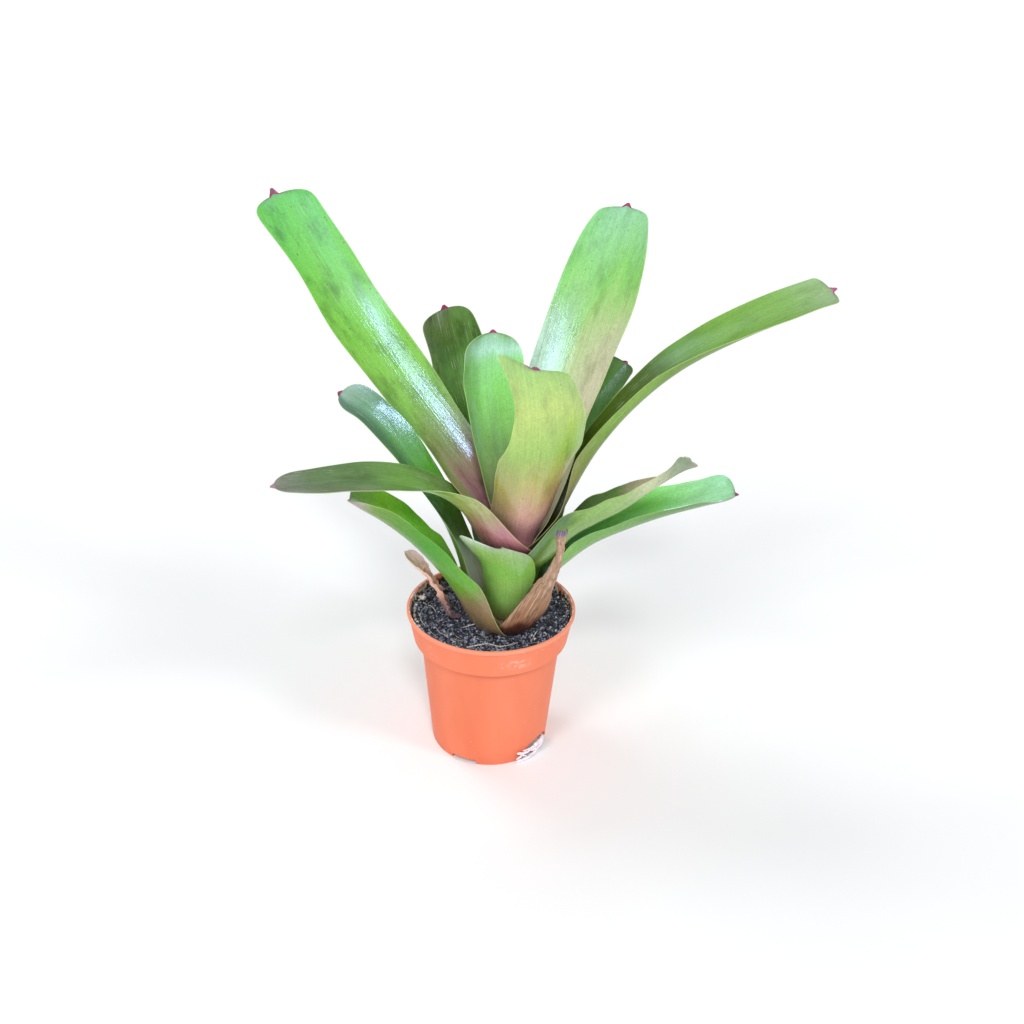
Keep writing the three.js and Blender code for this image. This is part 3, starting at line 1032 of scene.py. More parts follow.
    def build(self) -> Piece:
        """Make the blade as a thin closed solid with its attributes.

        Returns:
            The blade.
        """
        start = 1 - self.tip
        blunt = start + (self.tip - self.point) * np.sin(np.linspace(0, math.pi / 2, self.tip_rows + 1)[1:])
        mucro = np.linspace(1 - self.point, 1, self.point_rows + 1)[1:]
        s = np.concatenate([np.linspace(0, start, self.rows), blunt, mucro])
        across = np.linspace(-1, 1, self.columns + 1) * math.pi / 2 * self.crowding
        u = np.sin(across) / np.sin(across[-1])
        points = self.surface(s, u)
        piece = woven_sheet(f"{self.name}_blade", points + CROWN)
        count = len(piece.data.vertices)
        normals = np.empty(count * 3, np.float32)
        piece.data.vertex_normals.foreach_get("vector", normals)
        self.thicken(piece, s, u)

        solid = read_points(piece)
        moved = solid[:count] - ((points + CROWN) * MM).reshape(-1, 3)
        off = np.einsum("ij,ij->i", moved, normals.reshape(-1, 3))
        first_is_inner = float(off.mean() < 0)
        repeat = len(solid) // count
        give(piece, "along", np.tile(np.repeat(s, len(u)), repeat))
        give(piece, "across", np.tile(u, len(s) * repeat))
        give(piece, "inner", np.repeat([first_is_inner, 1 - first_is_inner], [count, len(solid) - count]))
        give(piece, "skin", np.tile(self.skin_map(points), (repeat, 1)))
        face_outwards(piece)
        smooth(piece, 60)
        return piece


NOTCHED_TIP: tuple[Dent, ...] = (
    Dent((0.987, 0.85), (0.012, 0.5), (0, 0, -1.6)), Dent((0.987, -0.85), (0.012, 0.5), (0, 0, -1.6)),
    Dent((1.0, 0.0), (0.007, 2.0), (0, 0, -1.7)),
)
GREEN_INNER: Stops = ((0.2, "8a5a6c"), (0.34, "93905c"), (0.48, "84bc48"), (0.7, "80c848"), (1.0, "78cc60"))
GREEN_OUTER: Stops = ((0.15, "a98c7c"), (0.3, "a9b060"), (0.5, "92c450"), (0.8, "8ccc54"), (1.0, "8cc86c"))

LEAVES: tuple[Leaf, ...] = (
    Leaf(
        "leaf_low_left", 207,
        ((43, 30), (57, 52), (74, 75), (95, 97), (118, 116)),
        ((26, 28), (26, 27), (27, 23), (31, 17), (31, 15), (29, 15), (22, 15)),
        ((60, 60), (60, 90), (60, 100), (50, 60)),
        LeafFinish(
            # Painted light: the inner face is brightened from 0.7 of its length to the tip, to make up for
            # the shadow of the arching leaf above.
            inner=(
                (0.1, "7f8f3c"), (0.4, "76ad3e"), (0.7, "84d840"), (0.84, "b4f058"), (1.0, "b4cc98"),
            ),
            outer=(
                (0.0, "8a7a5a"), (0.16, "907650"), (0.29, "947e5a"), (0.42, "6aa42c"), (0.65, "50981c"),
                (0.93, "749c34"), (1.0, "b8a6a0"),
            ),
            mucro="a08a86", gloss=0.3, scales=0.2, shine=0.45,
        ),
        place=0, root=((24, 0.6), (32, 12)), roll=(0, 0, 0),
        dents=(Dent((0.3, 1.0), (0.22, 0.5), (4, 0, 0)),),
        flares=(Dent((0.15, 1.0), (0.14, 0.4), (4, 0, 0)),),
    ),
    Leaf(
        "leaf_dark_left", 169,
        ((35, 34), (43, 56), (53, 80), (68, 105), (86, 128), (105, 147), (124, 158)),
        ((28, 34), (26, 34), (22, 28), (16, 20), (14, 14), (15, 13), (17, 13), (15, 12), (14, 11)),
        ((60, 60), (50, 60), (30, 35), (20, 25)),
        LeafFinish(
            inner=(
                (0.15, "9a9440"), (0.33, "8aa83c"), (0.48, "74ac48"), (0.62, "66b03c"),
                # Painted highlight: the pale stops at 0.88 and at the tip stand for light glancing off the
                # tip's edge.
                (0.75, "6aa458"), (0.88, "74a07c"), (1.0, "a4c0b0"),
            ),
            tints=(Tint("34583c", 0.65, (0.56, 0.7), (-0.1, 0.6), Face.INNER),),
            outer=((0.1, "9a8c6c"), (0.3, "8c9a60"), (0.5, "6c9444"), (1.0, "7f9a64")),
            scales=0.6, gloss=0.26, mottle=0.3, matte=(0.5, 0.38),
        ),
        place=1, root=((20.5, 5), (26, 16)), roll=(0, 0, -20, -30), slot=Slot.DARK_LEAF,
    ),
    Leaf(
        "leaf_low_front", 256,
        ((28, 50, 0), (36, 74, -1)),
        ((26, 5), (24, 8), (22, 14), (20, 20), (26, 20)),
        ((40, 40), (20, 30)),
        LeafFinish(
            inner=((0.0, "7f8a60"), (0.7, "86a468"), (1.0, "9cb088")),
            outer=(
                (0.0, "8a8a4c"), (0.35, "9ccc68"), (0.64, "9ccc66"), (0.79, "8eca58"), (0.92, "95bf60"),
                (1.0, "a8b890"),
            ),
            tints=(Tint("c4d0bc", 0.8, (0.84, 0.9), (-0.5, -0.85)),), gloss=0.26, scales=0.15, mucro="93a070",
        ),
        place=2, skew=-11, tip=0.15, pucker=0.9, point_width=1.4,
        dents=(
            Dent((0.9, -1.0), (0.1, 0.4), (-22, -9, 42)), Dent((0.75, 1.0), (0.1, 0.4), (-8, 3, 0)),
            Dent((0.6, 0.3), (0.08, 0.6), (0, -1.5, 0)),
        ),
        flares=(
            Dent((0.9, -0.95), (0.055, 0.4), (-5, -3, 10)), Dent((0.99, -0.9), (0.03, 0.5), (2, 0, -2)),
            Dent((0.97, 0.4), (0.07, 1.0), (0, 0, 3.5)),
        ),
    ),
    Leaf(
        "leaf_low_right", 348,
        ((37, 54), (54, 70), (76, 84), (98, 96), (120, 106), (143, 116)),
        ((28, 28), (26, 27), (22, 26), (18, 25), (15, 26), (14, 27), (14, 26), (14, 24), (14, 20)),
        ((60, 60), (90, 50), (80, 50), (40, 40)),
        LeafFinish(
            inner=(
                # The pale bluish stops from 0.88 to the tip are partly painted highlight along the tip.
                (0.1, "6b8c44"), (0.4, "70bc54"), (0.55, "80cc5c"), (0.7, "92e870"), (0.88, "acf0b0"),
                (1.0, "a7e6b4"),
            ),
            outer=((0.1, "8a9a54"), (0.4, "7eb144"), (0.9, "6d9945"), (1.0, "789a60")),
            tints=(Tint("2c6420", 0.5, (0.45, 0.6), (-0.55, -0.95), Face.INNER),), gloss=0.24, scales=0.3,
        ),
        place=3, roll=(0, 0, 0), tip=0.06, square=3,
    ),
    Leaf(
        "leaf_low_back", 76,
        ((38, 50), (56, 70), (78, 88), (102, 100), (120, 104)),
        ((20, 24), (18, 24), (15, 20), (15, 18), 18, 20, 21, 20),
        ((60, 60), (45, 45), (35, 35)),
        LeafFinish(inner=GREEN_INNER, outer=GREEN_OUTER), place=4,
    ),
    Leaf(
        "leaf_hidden_left", 120,
        ((38, 54), (56, 74), (78, 92), (102, 104), (120, 108)),
        (26, 24, 21, 18, 18, 20, 21, 20),
        ((60, 60), (45, 45), (35, 35)),
        LeafFinish(
            inner=((0.1, "5c6a3a"), (0.5, "6c9c4c"), (1.0, "86ae78")),
            outer=((0.1, "6c7a44"), (0.5, "6c9c4c"), (1.0, "86a874")), scales=0.4, shine=0.3,
        ),
        place=5, slot=Slot.DARK_LEAF,
    ),
    Leaf(
        "leaf_twisted_right", 334,
        ((29, 60), (42, 78), (58, 92), (74, 105), (90, 121), (104, 136), (114, 149)),
        (
            (36, 28), (38, 28), (40, 28), (34, 29), (24, 31), (18, 28), (14, 23), (9, 15), (4, 8),
            (6, 14),
        ),
        ((70, 60), (100, 50), (115, 50), (100, 70), (40, 40)),
        LeafFinish(
            inner=((0.1, "4f6a30"), (0.5, "537339"), (0.8, "749c4c"), (1.0, "86a070")),
            outer=(
                (0.1, "84a04c"), (0.45, "88ac4c"), (0.62, "8eb252"), (0.7, "9cba66"), (0.8, "c8cc9c"),
                (0.9, "a8b088"), (1.0, "7f9468"),
            ),
            tints=(
                Tint("d8a8a4", 0.5, (0.6, 0.75), (0.2, 0.9)),
                # Painted shade: the dark green on the outer face's right margin stands for a shaded face seen
                # there.
                Tint("4c6c2c", 0.75, (0.53, 0.47), (-0.6, -0.9), Face.OUTER),
            ), gloss=0.3, mucro="9a9a70",
        ),
        place=6, roll=(0, 0, 0, -10, -70), tip=0.05,
    ),
    Leaf(
        "leaf_small_back", 52,
        ((30, 66), (44, 90), (60, 114), (78, 136), (96, 153, -4), (110, 166, -9)),
        (28, 24, 20, 17, 17, 18, 18, 17, 15),
        ((60, 60), (50, 50), (40, 40)),
        LeafFinish(
            inner=((0.1, "5c6a3a"), (0.5, "5c8640"), (0.8, "5a823c"), (1.0, "6c8858")),
            outer=((0.1, "6c7a44"), (0.5, "6c9c4c"), (1.0, "86a874")), scales=0.4, shine=0.3,
        ),
        place=7, tip=0.07, square=3.4, slot=Slot.DARK_LEAF,
    ),
    Leaf(
        "leaf_arching_left", 201,
        ((28, 70), (40, 92), (58, 108), (82, 118), (110, 124), (136, 126), (162, 126)),
        (
            (28, 34), (26, 40), (24, 46), (22, 43), (28, 33), (26, 23), (22, 19), (18, 18), (13, 17),
            (12, 13),
        ),
        ((60, 60), (50, 90), (20, 60), (15, 10), (10, 10)),
        LeafFinish(
            inner=(
                (0.2, "9a6870"), (0.36, "848c54"), (0.55, "6f9c3f"), (0.65, "6c983e"), (0.78, "5e7e3c"),
                (0.9, "637a4b"), (1.0, "9a9a90"),
            ),
            outer=(
                (0.12, "a05068"), (0.3, "b4647c"), (0.41, "bc7e7c"), (0.48, "b4b468"), (0.6, "9ecd5e"),
                (0.85, "92b865"), (1.0, "b0aaa0"),
            ),
            tints=(Tint("6c5a4c", 0.35, (0.55, 0.75), (0.1, 0.8), Face.INNER),),
            scales=0.6, mottle=0.6, specks=0.5, gloss=0.36, mucro="b4848c",
        ),
        place=8, roll=(0, 0, 0, -5, -5), wave=1.2,
    ),
    Leaf(
        "leaf_dark_back", 117,
        ((27, 72), (46, 92), (69, 114), (90, 139), (107, 166, 1), (118, 197, 4)),
        ((23, 28), (22, 24), 20, 18, 18, 22, (25, 22), (24, 19), (17, 21)),
        ((60, 60), (45, 45), (30, 30)),
        LeafFinish(
            # The dark lower stops of the inner face are partly the leaf's own dark green and partly painted
            # shade between the leaves.
            inner=(
                (0.3, "46582a"), (0.5, "587e2a"), (0.73, "567a26"), (0.88, "4c741a"), (0.95, "6c8440"),
                (1.0, "8ca078"),
            ),
            outer=((0.3, "5c6a3c"), (0.6, "5c7c40"), (1.0, "6c8458")),
            tints=(
                Tint("a8bc94", 0.3, (0.5, 0.62), (0.5, 0.95), Face.INNER),
                Tint("86c058", 0.6, (0.52, 0.7), (0.1, -0.5), Face.INNER),
                Tint("34481c", 0.5, (0.8, 0.92), face=Face.INNER),
            ),
            scales=0.8, mottle=0.9, gloss=0.5, shine=0.15,
        ),
        place=9, roll=(0, -10, -15), tip=0.07, skew=-3, square=3.8, slot=Slot.DARK_LEAF,
    ),
    Leaf(
        "leaf_arching_right", 11,
        ((23, 76), (38, 103), (54, 131), (76, 158), (104, 182), (138, 202), (172, 219), (207, 233)),
        (
            (34, 28), (30, 27), (26, 25), (22, 22), (18, 19), (16, 18), (15, 21), (16, 24), (20, 22),
            (22, 18), (18, 14),
        ),
        ((70, 60), (90, 50), (110, 40), (100, 35), (55, 28), (25, 20)),
        LeafFinish(
            # The dark lower stops of the inner face are partly the leaf's own dark green and partly painted
            # shade between the leaves.
            inner=(
                (0.25, "4c401c"), (0.4, "465014"), (0.57, "4a6018"), (0.65, "4c641e"), (0.72, "66923c"),
                (0.8, "76a444"), (0.9, "80ac58"), (1.0, "9bb68b"),
            ),
            outer=(
                (0.12, "6a4840"), (0.25, "785a50"), (0.33, "94846a"), (0.42, "a4a468"),
                (0.55, "90b058"), (0.8, "7ca04c"), (1.0, "8a9c6c"),
            ),
            scales=0.9, mottle=0.3, gloss=0.38, shine=0.2, mucro="b0527c",
        ),
        place=10, roll=(0, 0, 0, 0, 8, 20), tip=0.035, square=3, flares=NOTCHED_TIP,
    ),
    Leaf(
        "leaf_tall_left", 149,
        ((22, 78), (40, 99), (66, 121), (99, 151), (136, 190), (172, 230), (207, 275)),
        ((24, 28), (22, 25), 22, 20, (22, 18), (25, 12), (29, 14), (28, 18), (28, 14), (25, 22)),
        ((60, 60), (45, 40), (30, 30), (25, 20)),
        LeafFinish(
            inner=(
                (0.25, "8a4c64"), (0.36, "a8647c"), (0.46, "a8807c"), (0.53, "8f9864"),
                (0.62, "8cbc54"), (0.7, "8ac84c"), (0.85, "78c83c"), (0.97, "68c448"), (1.0, "70c46c"),
            ),
            outer=GREEN_OUTER,
            tints=(
                Tint("a8a850", 0.5, (0.6, 0.56), (0.1, 0.8), Face.INNER),
                # Painted shade: the dark green tint low on the inner face's left half.
                Tint("5c8c34", 0.5, (0.72, 0.64), (0.35, 0.7), Face.INNER),
                Tint("c87c60", 0.6, (0.5, 0.38), (0.6, 0.95), Face.INNER),
                Tint("8c5070", 0.6, (0.42, 0.3), (-0.2, -0.8), Face.INNER),
            ),
            scales=0.5, mottle=0.75, specks=0.75, gloss=0.3, matte=(0.76, 0.86), shine=0.65,
        ),
        place=11, roll=(0, -15, -25, -25), tip=0.05, square=3.2, rows=170, point_width=3.8,
        flares=(*NOTCHED_TIP, Dent((1.0, 0.0), (0.012, 3.0), (-1.8, 0, 0))),
    ),
    Leaf(
        "leaf_tall_back", 58,
        ((21, 80), (31, 102), (45, 132), (65, 166), (89, 204), (113, 240), (135, 271)),
        ((24, 28), (22, 25), 22, 23, 26, (28, 30), (31, 31), (35, 30), (29, 27), (16, 16)),
        ((60, 60), (40, 40), (20, 20)),
        LeafFinish(
            inner=(
                (0.3, "8aa064"), (0.5, "b4c878"), (0.65, "a8cc64"), (0.75, "98cc58"), (0.85, "88cc60"),
                (1.0, "94d0a0"),
            ),
            outer=GREEN_OUTER,
            tints=(
                Tint("d8af8c", 0.5, (0.82, 0.55), (-0.05, -0.8), Face.INNER),
                # Painted highlights: the next two tints, a bluish white streak and a broad pale pink sheen.
                Tint("cfeef4", 0.5, (0.8, 0.68), (0.1, 0.7), Face.INNER),
                Tint("f4d8dc", 0.42, (0.86, 0.66), (0.4, -0.2), Face.INNER),
                Tint("6cc418", 0.5, (0.7, 0.8), (0.4, 0.85), Face.INNER),
            ),
            scales=0.55, mottle=0.4, specks=0.6, gloss=0.3, matte=(0.74, 0.84), shine=0.7, mucro="8c1f4c",
        ),
        place=12, tip=0.05, square=3, rows=160, point_width=3.8, flares=NOTCHED_TIP,
    ),
    Leaf(
        "leaf_front", 290,
        ((22, 90), (28, 108), (35, 130), (40, 154), (42, 178, -2), (39, 200, -6)),
        ((28, 21), (28, 20), (28, 20), (29, 20), (27, 22), (27, 28), (20, 34), (17, 28), (24, 20)),
        ((50, 50), (30, 30), (20, 20)),
        LeafFinish(
            inner=GREEN_INNER,
            outer=(
                # Painted light: the pink base stops are paler than the base's own pink, to make up for the
                # shade it sits in.
                (0.26, "eca4ac"), (0.36, "f8bcb0"), (0.46, "d4b084"), (0.56, "c4bc68"),
                (0.69, "a2c654"), (0.85, "bfd56a"), (1.0, "9dc86b"),
            ),
            tints=(
                Tint("c4846c", 0.5, (0.7, 0.5), (0.3, 0.9), Face.OUTER),
                Tint("8c8c40", 0.35, (0.74, 0.64), (-0.1, -0.8), Face.OUTER),
            ),
            scales=0.2, mottle=0.4, gloss=0.34, specks=0.3,
        ),
        place=13, skew=-9, tip=0.05, square=4,
        dents=(
            Dent((0.67, 1.0), (0.04, 0.35), (7, 3, 0)), Dent((0.66, -1.0), (0.02, 0.3), (-2.5, 1, 0)),
            Dent((0.98, -1.0), (0.07, 0.45), (1, 0, 19)),
        ),
    ),
    Leaf(
        "leaf_heart", 117,
        ((21, 92), (28, 112), (36, 132), (44, 154), (49, 175, -1), (50, 197, -3)),
        (20, 18, 17, 18, 20, 22, 23, 23, 20),
        ((50, 50), (40, 40), (25, 25)),
        LeafFinish(
            inner=(
                (0.35, "8a8a5c"), (0.55, "8ab864"), (0.77, "96e375"), (0.88, "a0e890"),
                # Painted highlight: the near-white band from 0.93 to 0.97 of the length.
                (0.93, "c8f8e0"), (0.97, "b0e4bc"), (1.0, "9cd094"),
            ),
            outer=GREEN_OUTER,
            tints=(Tint("5c8c30", 0.65, (0.4, 0.6), (0.3, 0.95), Face.INNER),),
            scales=0.35, gloss=0.26, mucro="b02060",
        ),
        place=14, tip=0.1,
    ),
)
DRY_RIGHT = DryFinish(
    (
        (0.0, "2c1418"), (0.12, "5a2c20"), (0.2, "a87854"), (0.4, "a47c60"), (0.62, "b49278"),
        (0.84, "b08c74"), (0.93, "6c5f7c"), (1.0, "544c6c"),
    ),
    "e8ccb4",
)
DRY_LEFT = DryFinish(
    (
        (0.0, "54404a"), (0.3, "846468"), (0.42, "c08c78"), (0.55, "f0b8a0"), (0.7, "fcc8b4"),
        (0.85, "ffd8d0"), (1.0, "ffdce0"),
    ),
    "ffe4d8",
)
DEAD_LEAVES: tuple[Leaf, ...] = (
    Leaf(
        "dead_leaf_right", 301,
        ((26, 4, -4), (29.5, 14, -3), (33.5, 27, -2), (41, 44), (49, 60), (54, 76), (56, 90), (58, 97)),
        ((21, 25), (19, 21), (16, 17), (13, 12), (9, 8), 6, 4.5, 6.5, 7),
        ((60, 60), (60, 60), (100, 100), (130, 120), (90, 80)),
        DRY_RIGHT, tip=0.12, square=2.2, point_width=1.2, slot=Slot.DEAD_LEAF, crumple=0.9,
        rows=120, columns=40, thick=0.9,
    ),
    Leaf(
        "dead_leaf_left", 184,
        ((32, 2), (40, 2.6), (46, 11), (52.5, 23), (60, 34), (68, 44), (77, 55)),
        (2.5, 4, 5.5, 5, 4.5, 4.5, 6, 6.5, 5.5),
        ((40, 40), (100, 100), (110, 110), (70, 60)),
        DRY_LEFT, roll=(0, 0, -20, -42), tip=0.09, point_width=1.2, slot=Slot.DEAD_LEAF, crumple=1.0,
        rows=90, thick=0.8,
    ),
)


# ---------------------------------------------------------------- pot
@dataclass
class NurseryPot:
    """A moulded 12 cm nursery pot with a stepped collar, in millimetres and degrees."""

    rim_radius: float = 60.0
    height: float = 110.0
    lip_height: float = 3.0
    lip_overhang: float = 1.1
    wall: float = 1.3
    collar_foot: float = 88.0
    collar_foot_radius: float = 55.6
    seam: float = 84.0
    seam_radius: float = 50.0
    base_radius: float = 42.5
    floor: float = 4.0
    floor_thickness: float = 1.5
    pad_radius: float = 13.0
    foot_width: float = 2.2
    segments: int = 144
    notch_first: float = -113.5
    notch_count: int = 5
    notch_depth: float = 10.0
    notch_width: float = 20.0
    notch_height: float = 4.0
    notch_corner: float = 1.2
    hole_radius: float = 4.0
    hole_reach: float = 35.0
    drain_azimuth: float = -34.0
    drain_width: float = 34.0
    drain_height: float = 13.0
    cut_depth: float = 12.0
    plain_above: float = 16.0
    crease: float = 32.0

    def profile(self) -> list[Span]:
        """Lay out the section's corners, from the underside's middle round to the inside's.

        Returns:
            The radius and height of each corner.
        """
        r, h, base, lip = self.rim_radius, self.height, self.base_radius, self.height - self.lip_height
        collar, foot, seam, step = self.collar_foot_radius, self.collar_foot, self.seam, self.seam_radius
        slope = (step - base) / seam
        inside = self.floor + self.floor_thickness
        return [
            (self.pad_radius, 0), (self.pad_radius + 2, self.floor), (base - self.foot_width, self.floor),
            (base - self.foot_width, 0), (base - 0.8, 0), (base + 0.1, 1.2),
            (base + slope * self.plain_above, self.plain_above), (step - 0.1, seam - 1.2),
            (step + 0.25, seam),
            (step + 1.5, seam + 0.6), (collar - 1, foot - 1), (collar - 0.25, foot - 0.3), (collar, foot + 1),
            (r - self.lip_overhang - 0.05, lip), (r - 0.25, lip + 0.25), (r, lip + 0.8), (r, h - 0.8),
            (r - 0.25, h - 0.2), (r - 0.8, h), (r - 1.8, h), (r - 2.2, h - 0.3), (r - 2.5, lip),
            (collar - self.wall, foot + 0.4), (step - self.wall, seam - 1), (base - self.wall + 0.3, inside),
            (self.pad_radius + 1, inside), (self.pad_radius - 1, self.floor_thickness),
        ]

    def turn(self) -> Piece:
        """Pull the wall up ring by ring and close both ends.

        Returns:
            The pot, without openings.
        """
        pot = pulled_disc("nursery_pot", self.profile(), self.segments, MM)
        with editing(pot):
            bpy.ops.mesh.select_all(action="DESELECT")
        for vertex in pot.data.vertices[: self.segments]:
            vertex.select = True
        bpy.ops.object.mode_set(mode="EDIT")
        bpy.ops.mesh.edge_face_add()
        bpy.ops.object.mode_set(mode="OBJECT")
        return close_up(pot)

    def around(self, reach: float, azimuth: float, z: float) -> Spot:
        """Give a place in metres by its reach, its direction in radians and its height."""
        return reach * math.cos(azimuth) * MM, reach * math.sin(azimuth) * MM, z * MM

    def cut(self, pot: Piece) -> None:
        """Cut the foot's notches, the drain holes and the tall opening for roots.

        Args:
            pot: the pot.
        """
        for k in range(self.notch_count):
            a = math.radians(self.notch_first + 360 * k / self.notch_count)
            deselect()
            at = self.around(self.base_radius, a, 0)
            bpy.ops.mesh.primitive_cube_add(size=1, location=at, rotation=(0, 0, a))
            notch = named("notch")
            notch.scale = (self.notch_depth * MM, self.notch_width * MM, 2 * self.notch_height * MM)
            bpy.ops.object.transform_apply(location=False, rotation=False, scale=True)
            modify(notch, "BEVEL", width=self.notch_corner * MM, segments=3)
            carve(pot, notch)
            deselect()
            bpy.ops.mesh.primitive_cylinder_add(
                vertices=32, radius=self.hole_radius * MM, depth=self.cut_depth * MM,
                location=self.around(self.hole_reach, a, self.floor),
            )
            carve(pot, named("hole"))
        a = math.radians(self.drain_azimuth)
        deselect()
        bpy.ops.mesh.primitive_cylinder_add(
            vertices=64, radius=1, depth=1, location=self.around(self.base_radius, a, 0),
            rotation=(0, math.pi / 2, a),
        )
        opening = named("opening")
        opening.scale = (self.drain_height * MM, self.drain_width / 2 * MM, self.cut_depth * MM)
        carve(pot, opening)

    def build(self) -> None:
        """Make the pot, cut its openings and dress it."""
        pot = self.turn()
        self.cut(pot)
        smooth(pot, self.crease)
        dress(pot, PotPlastic().material(), Slot.POT, "pot")


@dataclass(frozen=True)
class PotPlastic:
    """Moulded plastic with scuffs, pale specks, lime and a darkened inner wall, and painted light and shade
    at the collar and lip.

    Heights, reaches and spans are in metres.
    """

    body: Stops = ((0.3, "e67a5a"), (0.5, "ee8462"), (0.7, "f28c6c"))
    bend: float = 1.12
    collar: Span = (0.082, 0.09)
    seam: tuple[Span, Span] = ((0.0836, 0.0842), (0.085, 0.0858))
    lip: Span = (0.1066, 0.1074)
    scuffed: Span = (0.086, 0.098)
    rub: Span = (0.018, 0.0965)
    collar_wall: tuple[float, float, float] = (0.0556, 0.089, 0.183)
    skin: float = -0.0009
    inside_from: float = 0.098
    dark_wall_edge: Span = (0.1056, 0.1082)
    crust_sides: Span = (0.038, 0.05)
    relief: float = 0.0002

    def scuffs(self, w: Wiring, place: Socket) -> Socket:
        """Mask the fine scratches on the collar and the rubbed patch at its front.

        Args:
            w: the material's wiring.
            place: the place on the pot.

        Returns:
            A mask from 0 to 1.
        """
        x, y, z = w.parts(place)
        scratch = w.remap(w.noise(place, (260, 260, 2600), 3, 0.6), 0.58, 0.68)
        patches = w.remap(w.noise(place, (42, 42, 60), 2), 0.52, 0.66)
        scuff = w.times(scratch, patches, w.remap(z, *self.scuffed))
        aside, above = (w.math("ABSOLUTE", w.math("SUBTRACT", v, at)) for v, at in zip((x, z), self.rub))
        rubbed = w.times(w.remap(aside, 0.006, 0.012, (1, 0)), w.remap(above, 0.0025, 0.005, (1, 0)))
        smear = w.remap(w.noise(place, (300, 300, 420), 5, 0.75), 0.47, 0.62)
        return w.math("MAXIMUM", scuff, w.times(rubbed, w.math("LESS_THAN", y, 0.0), smear, 0.7))

    def inside(self, w: Wiring, place: Socket) -> Socket:
        """Mask the inner wall above the soil.

        Args:
            w: the material's wiring.
            place: the place on the pot.

        Returns:
            1 on the inner wall and 0 elsewhere.
        """
        x, y, z = w.parts(place)
        reach = w.math("POWER", w.plus(w.times(x, x), w.times(y, y)), 0.5)
        radius, height, slope = self.collar_wall
        wall = w.plus(radius, w.times(w.math("SUBTRACT", z, height), slope))
        inner = w.math("LESS_THAN", w.math("SUBTRACT", reach, wall), self.skin)
        return w.times(inner, w.math("GREATER_THAN", z, self.inside_from))

    def material(self) -> Material:
        """Make the finish.

        Returns:
            The material.
        """
        material, w, surface = new_material("terracotta_plastic", bend=self.bend)
        place = w.place()
        x, _, z = w.parts(place)
        flow, grain = w.noise(place, (26, 26, 9)), w.noise(place, (900, 900, 900), 2)
        # Painted light: the collar is made lighter than the body below it.
        colour = w.over(w.ramp(flow, self.body), "f78e6c", w.remap(z, *self.collar), 0.35)
        # Painted shade: a darker line along the crease where the wall steps out to the collar.
        rising, falling = self.seam
        colour = w.over(colour, "c86044", w.times(w.remap(z, *rising), w.remap(z, *falling, (1, 0))), 0.25)
        # Painted highlight: the lip's band is made lighter.
        colour = w.over(colour, "f7ab90", w.remap(z, *self.lip), 0.4)
        distance, random = w.cells(place, 420)
        speck = w.times(w.math("LESS_THAN", distance, 0.13), w.math("GREATER_THAN", random, 0.93))
        colour = w.over(colour, "ffd8c4", speck, 0.7)
        scuff, inside = self.scuffs(w, place), self.inside(w, place)
        colour = w.over(colour, "ffe0d4", scuff, 0.6)
        # Darkens the inner wall nearly to black, from the soil up to a wavering line below the rim.
        wall_darkening = w.wander(z, w.noise(place, 150, 4), 0.009)
        colour = w.over(colour, "2c2428", w.remap(wall_darkening, *self.dark_wall_edge, (1, 0)), inside, 0.92)
        crust = w.remap(w.noise(place, 330, 4), 0.49, 0.56)
        sides = w.remap(w.math("ABSOLUTE", x), *self.crust_sides)
        colour = w.over(colour, "f0ece6", crust, inside, sides, 0.9)
        rough = w.plus(w.remap(flow, 0.3, 0.7, (0.36, 0.46)), w.times(scuff, 0.25))
        w.cover(surface, colour, rough, w.bump(w.plus(w.times(grain, 0.3), flow), self.relief, 0.5))
        return material


# ---------------------------------------------------------------- soil
@dataclass(frozen=True)
class PlainFibre:
    """A dry, dull, streaky finish between two colours, with its relief in metres."""

    name: str
    pale: str
    dark: str
    relief: float = 0.0004

    def material(self) -> Material:
        """Make the finish.

        Returns:
            The material.
        """
        material, w, surface = new_material(self.name, specular=0.3)
        grain = w.noise(w.place(), 700)
        colour = w.mix(w.remap(grain, 0.35, 0.65), self.dark, self.pale)
        w.cover(surface, colour, w.remap(grain, 0.3, 0.7, (0.55, 0.85)), w.bump(grain, self.relief, 0.7))
        return material


@dataclass(frozen=True)
class DampSoil:
    """Damp blue-black soil, with the body under the granules painted near-black as shade in the gaps between
    them.
    """

    shades: Stops = ((0.0, "0a0a0e"), (0.22, "262630"), (0.45, "5a5c6e"), (0.75, "9ca0b4"), (1.0, "d4d8e4"))
    relief: float = 0.0007

    def material(self) -> Material:
        """Make the finish.

        Returns:
            The material.
        """
        material, w, surface = new_material("potting_soil", specular=0.6)
        place = w.place()
        fine, crumb = w.noise(place, 1300, 4, 0.65), w.noise(place, 420)
        # The soil body has no shade attribute, so it reads 0 and takes the darkest stops: painted shade in
        # the gaps between granules.
        shade = w.plus(w.times(w.attribute("shade"), 0.8), w.remap(crumb, 0.4, 0.75, (-0.05, 0.3)))
        distance, random = w.cells(place, 620)
        pale = w.times(w.math("LESS_THAN", distance, 0.2), w.math("GREATER_THAN", random, 0.96))
        colour = w.over(w.ramp(shade, self.shades), "a89484", pale, 0.7)
        normal = w.bump(w.plus(fine, crumb), self.relief, 0.9)
        w.cover(surface, colour, w.remap(fine, 0.3, 0.7, (0.32, 0.7)), normal)
        return material


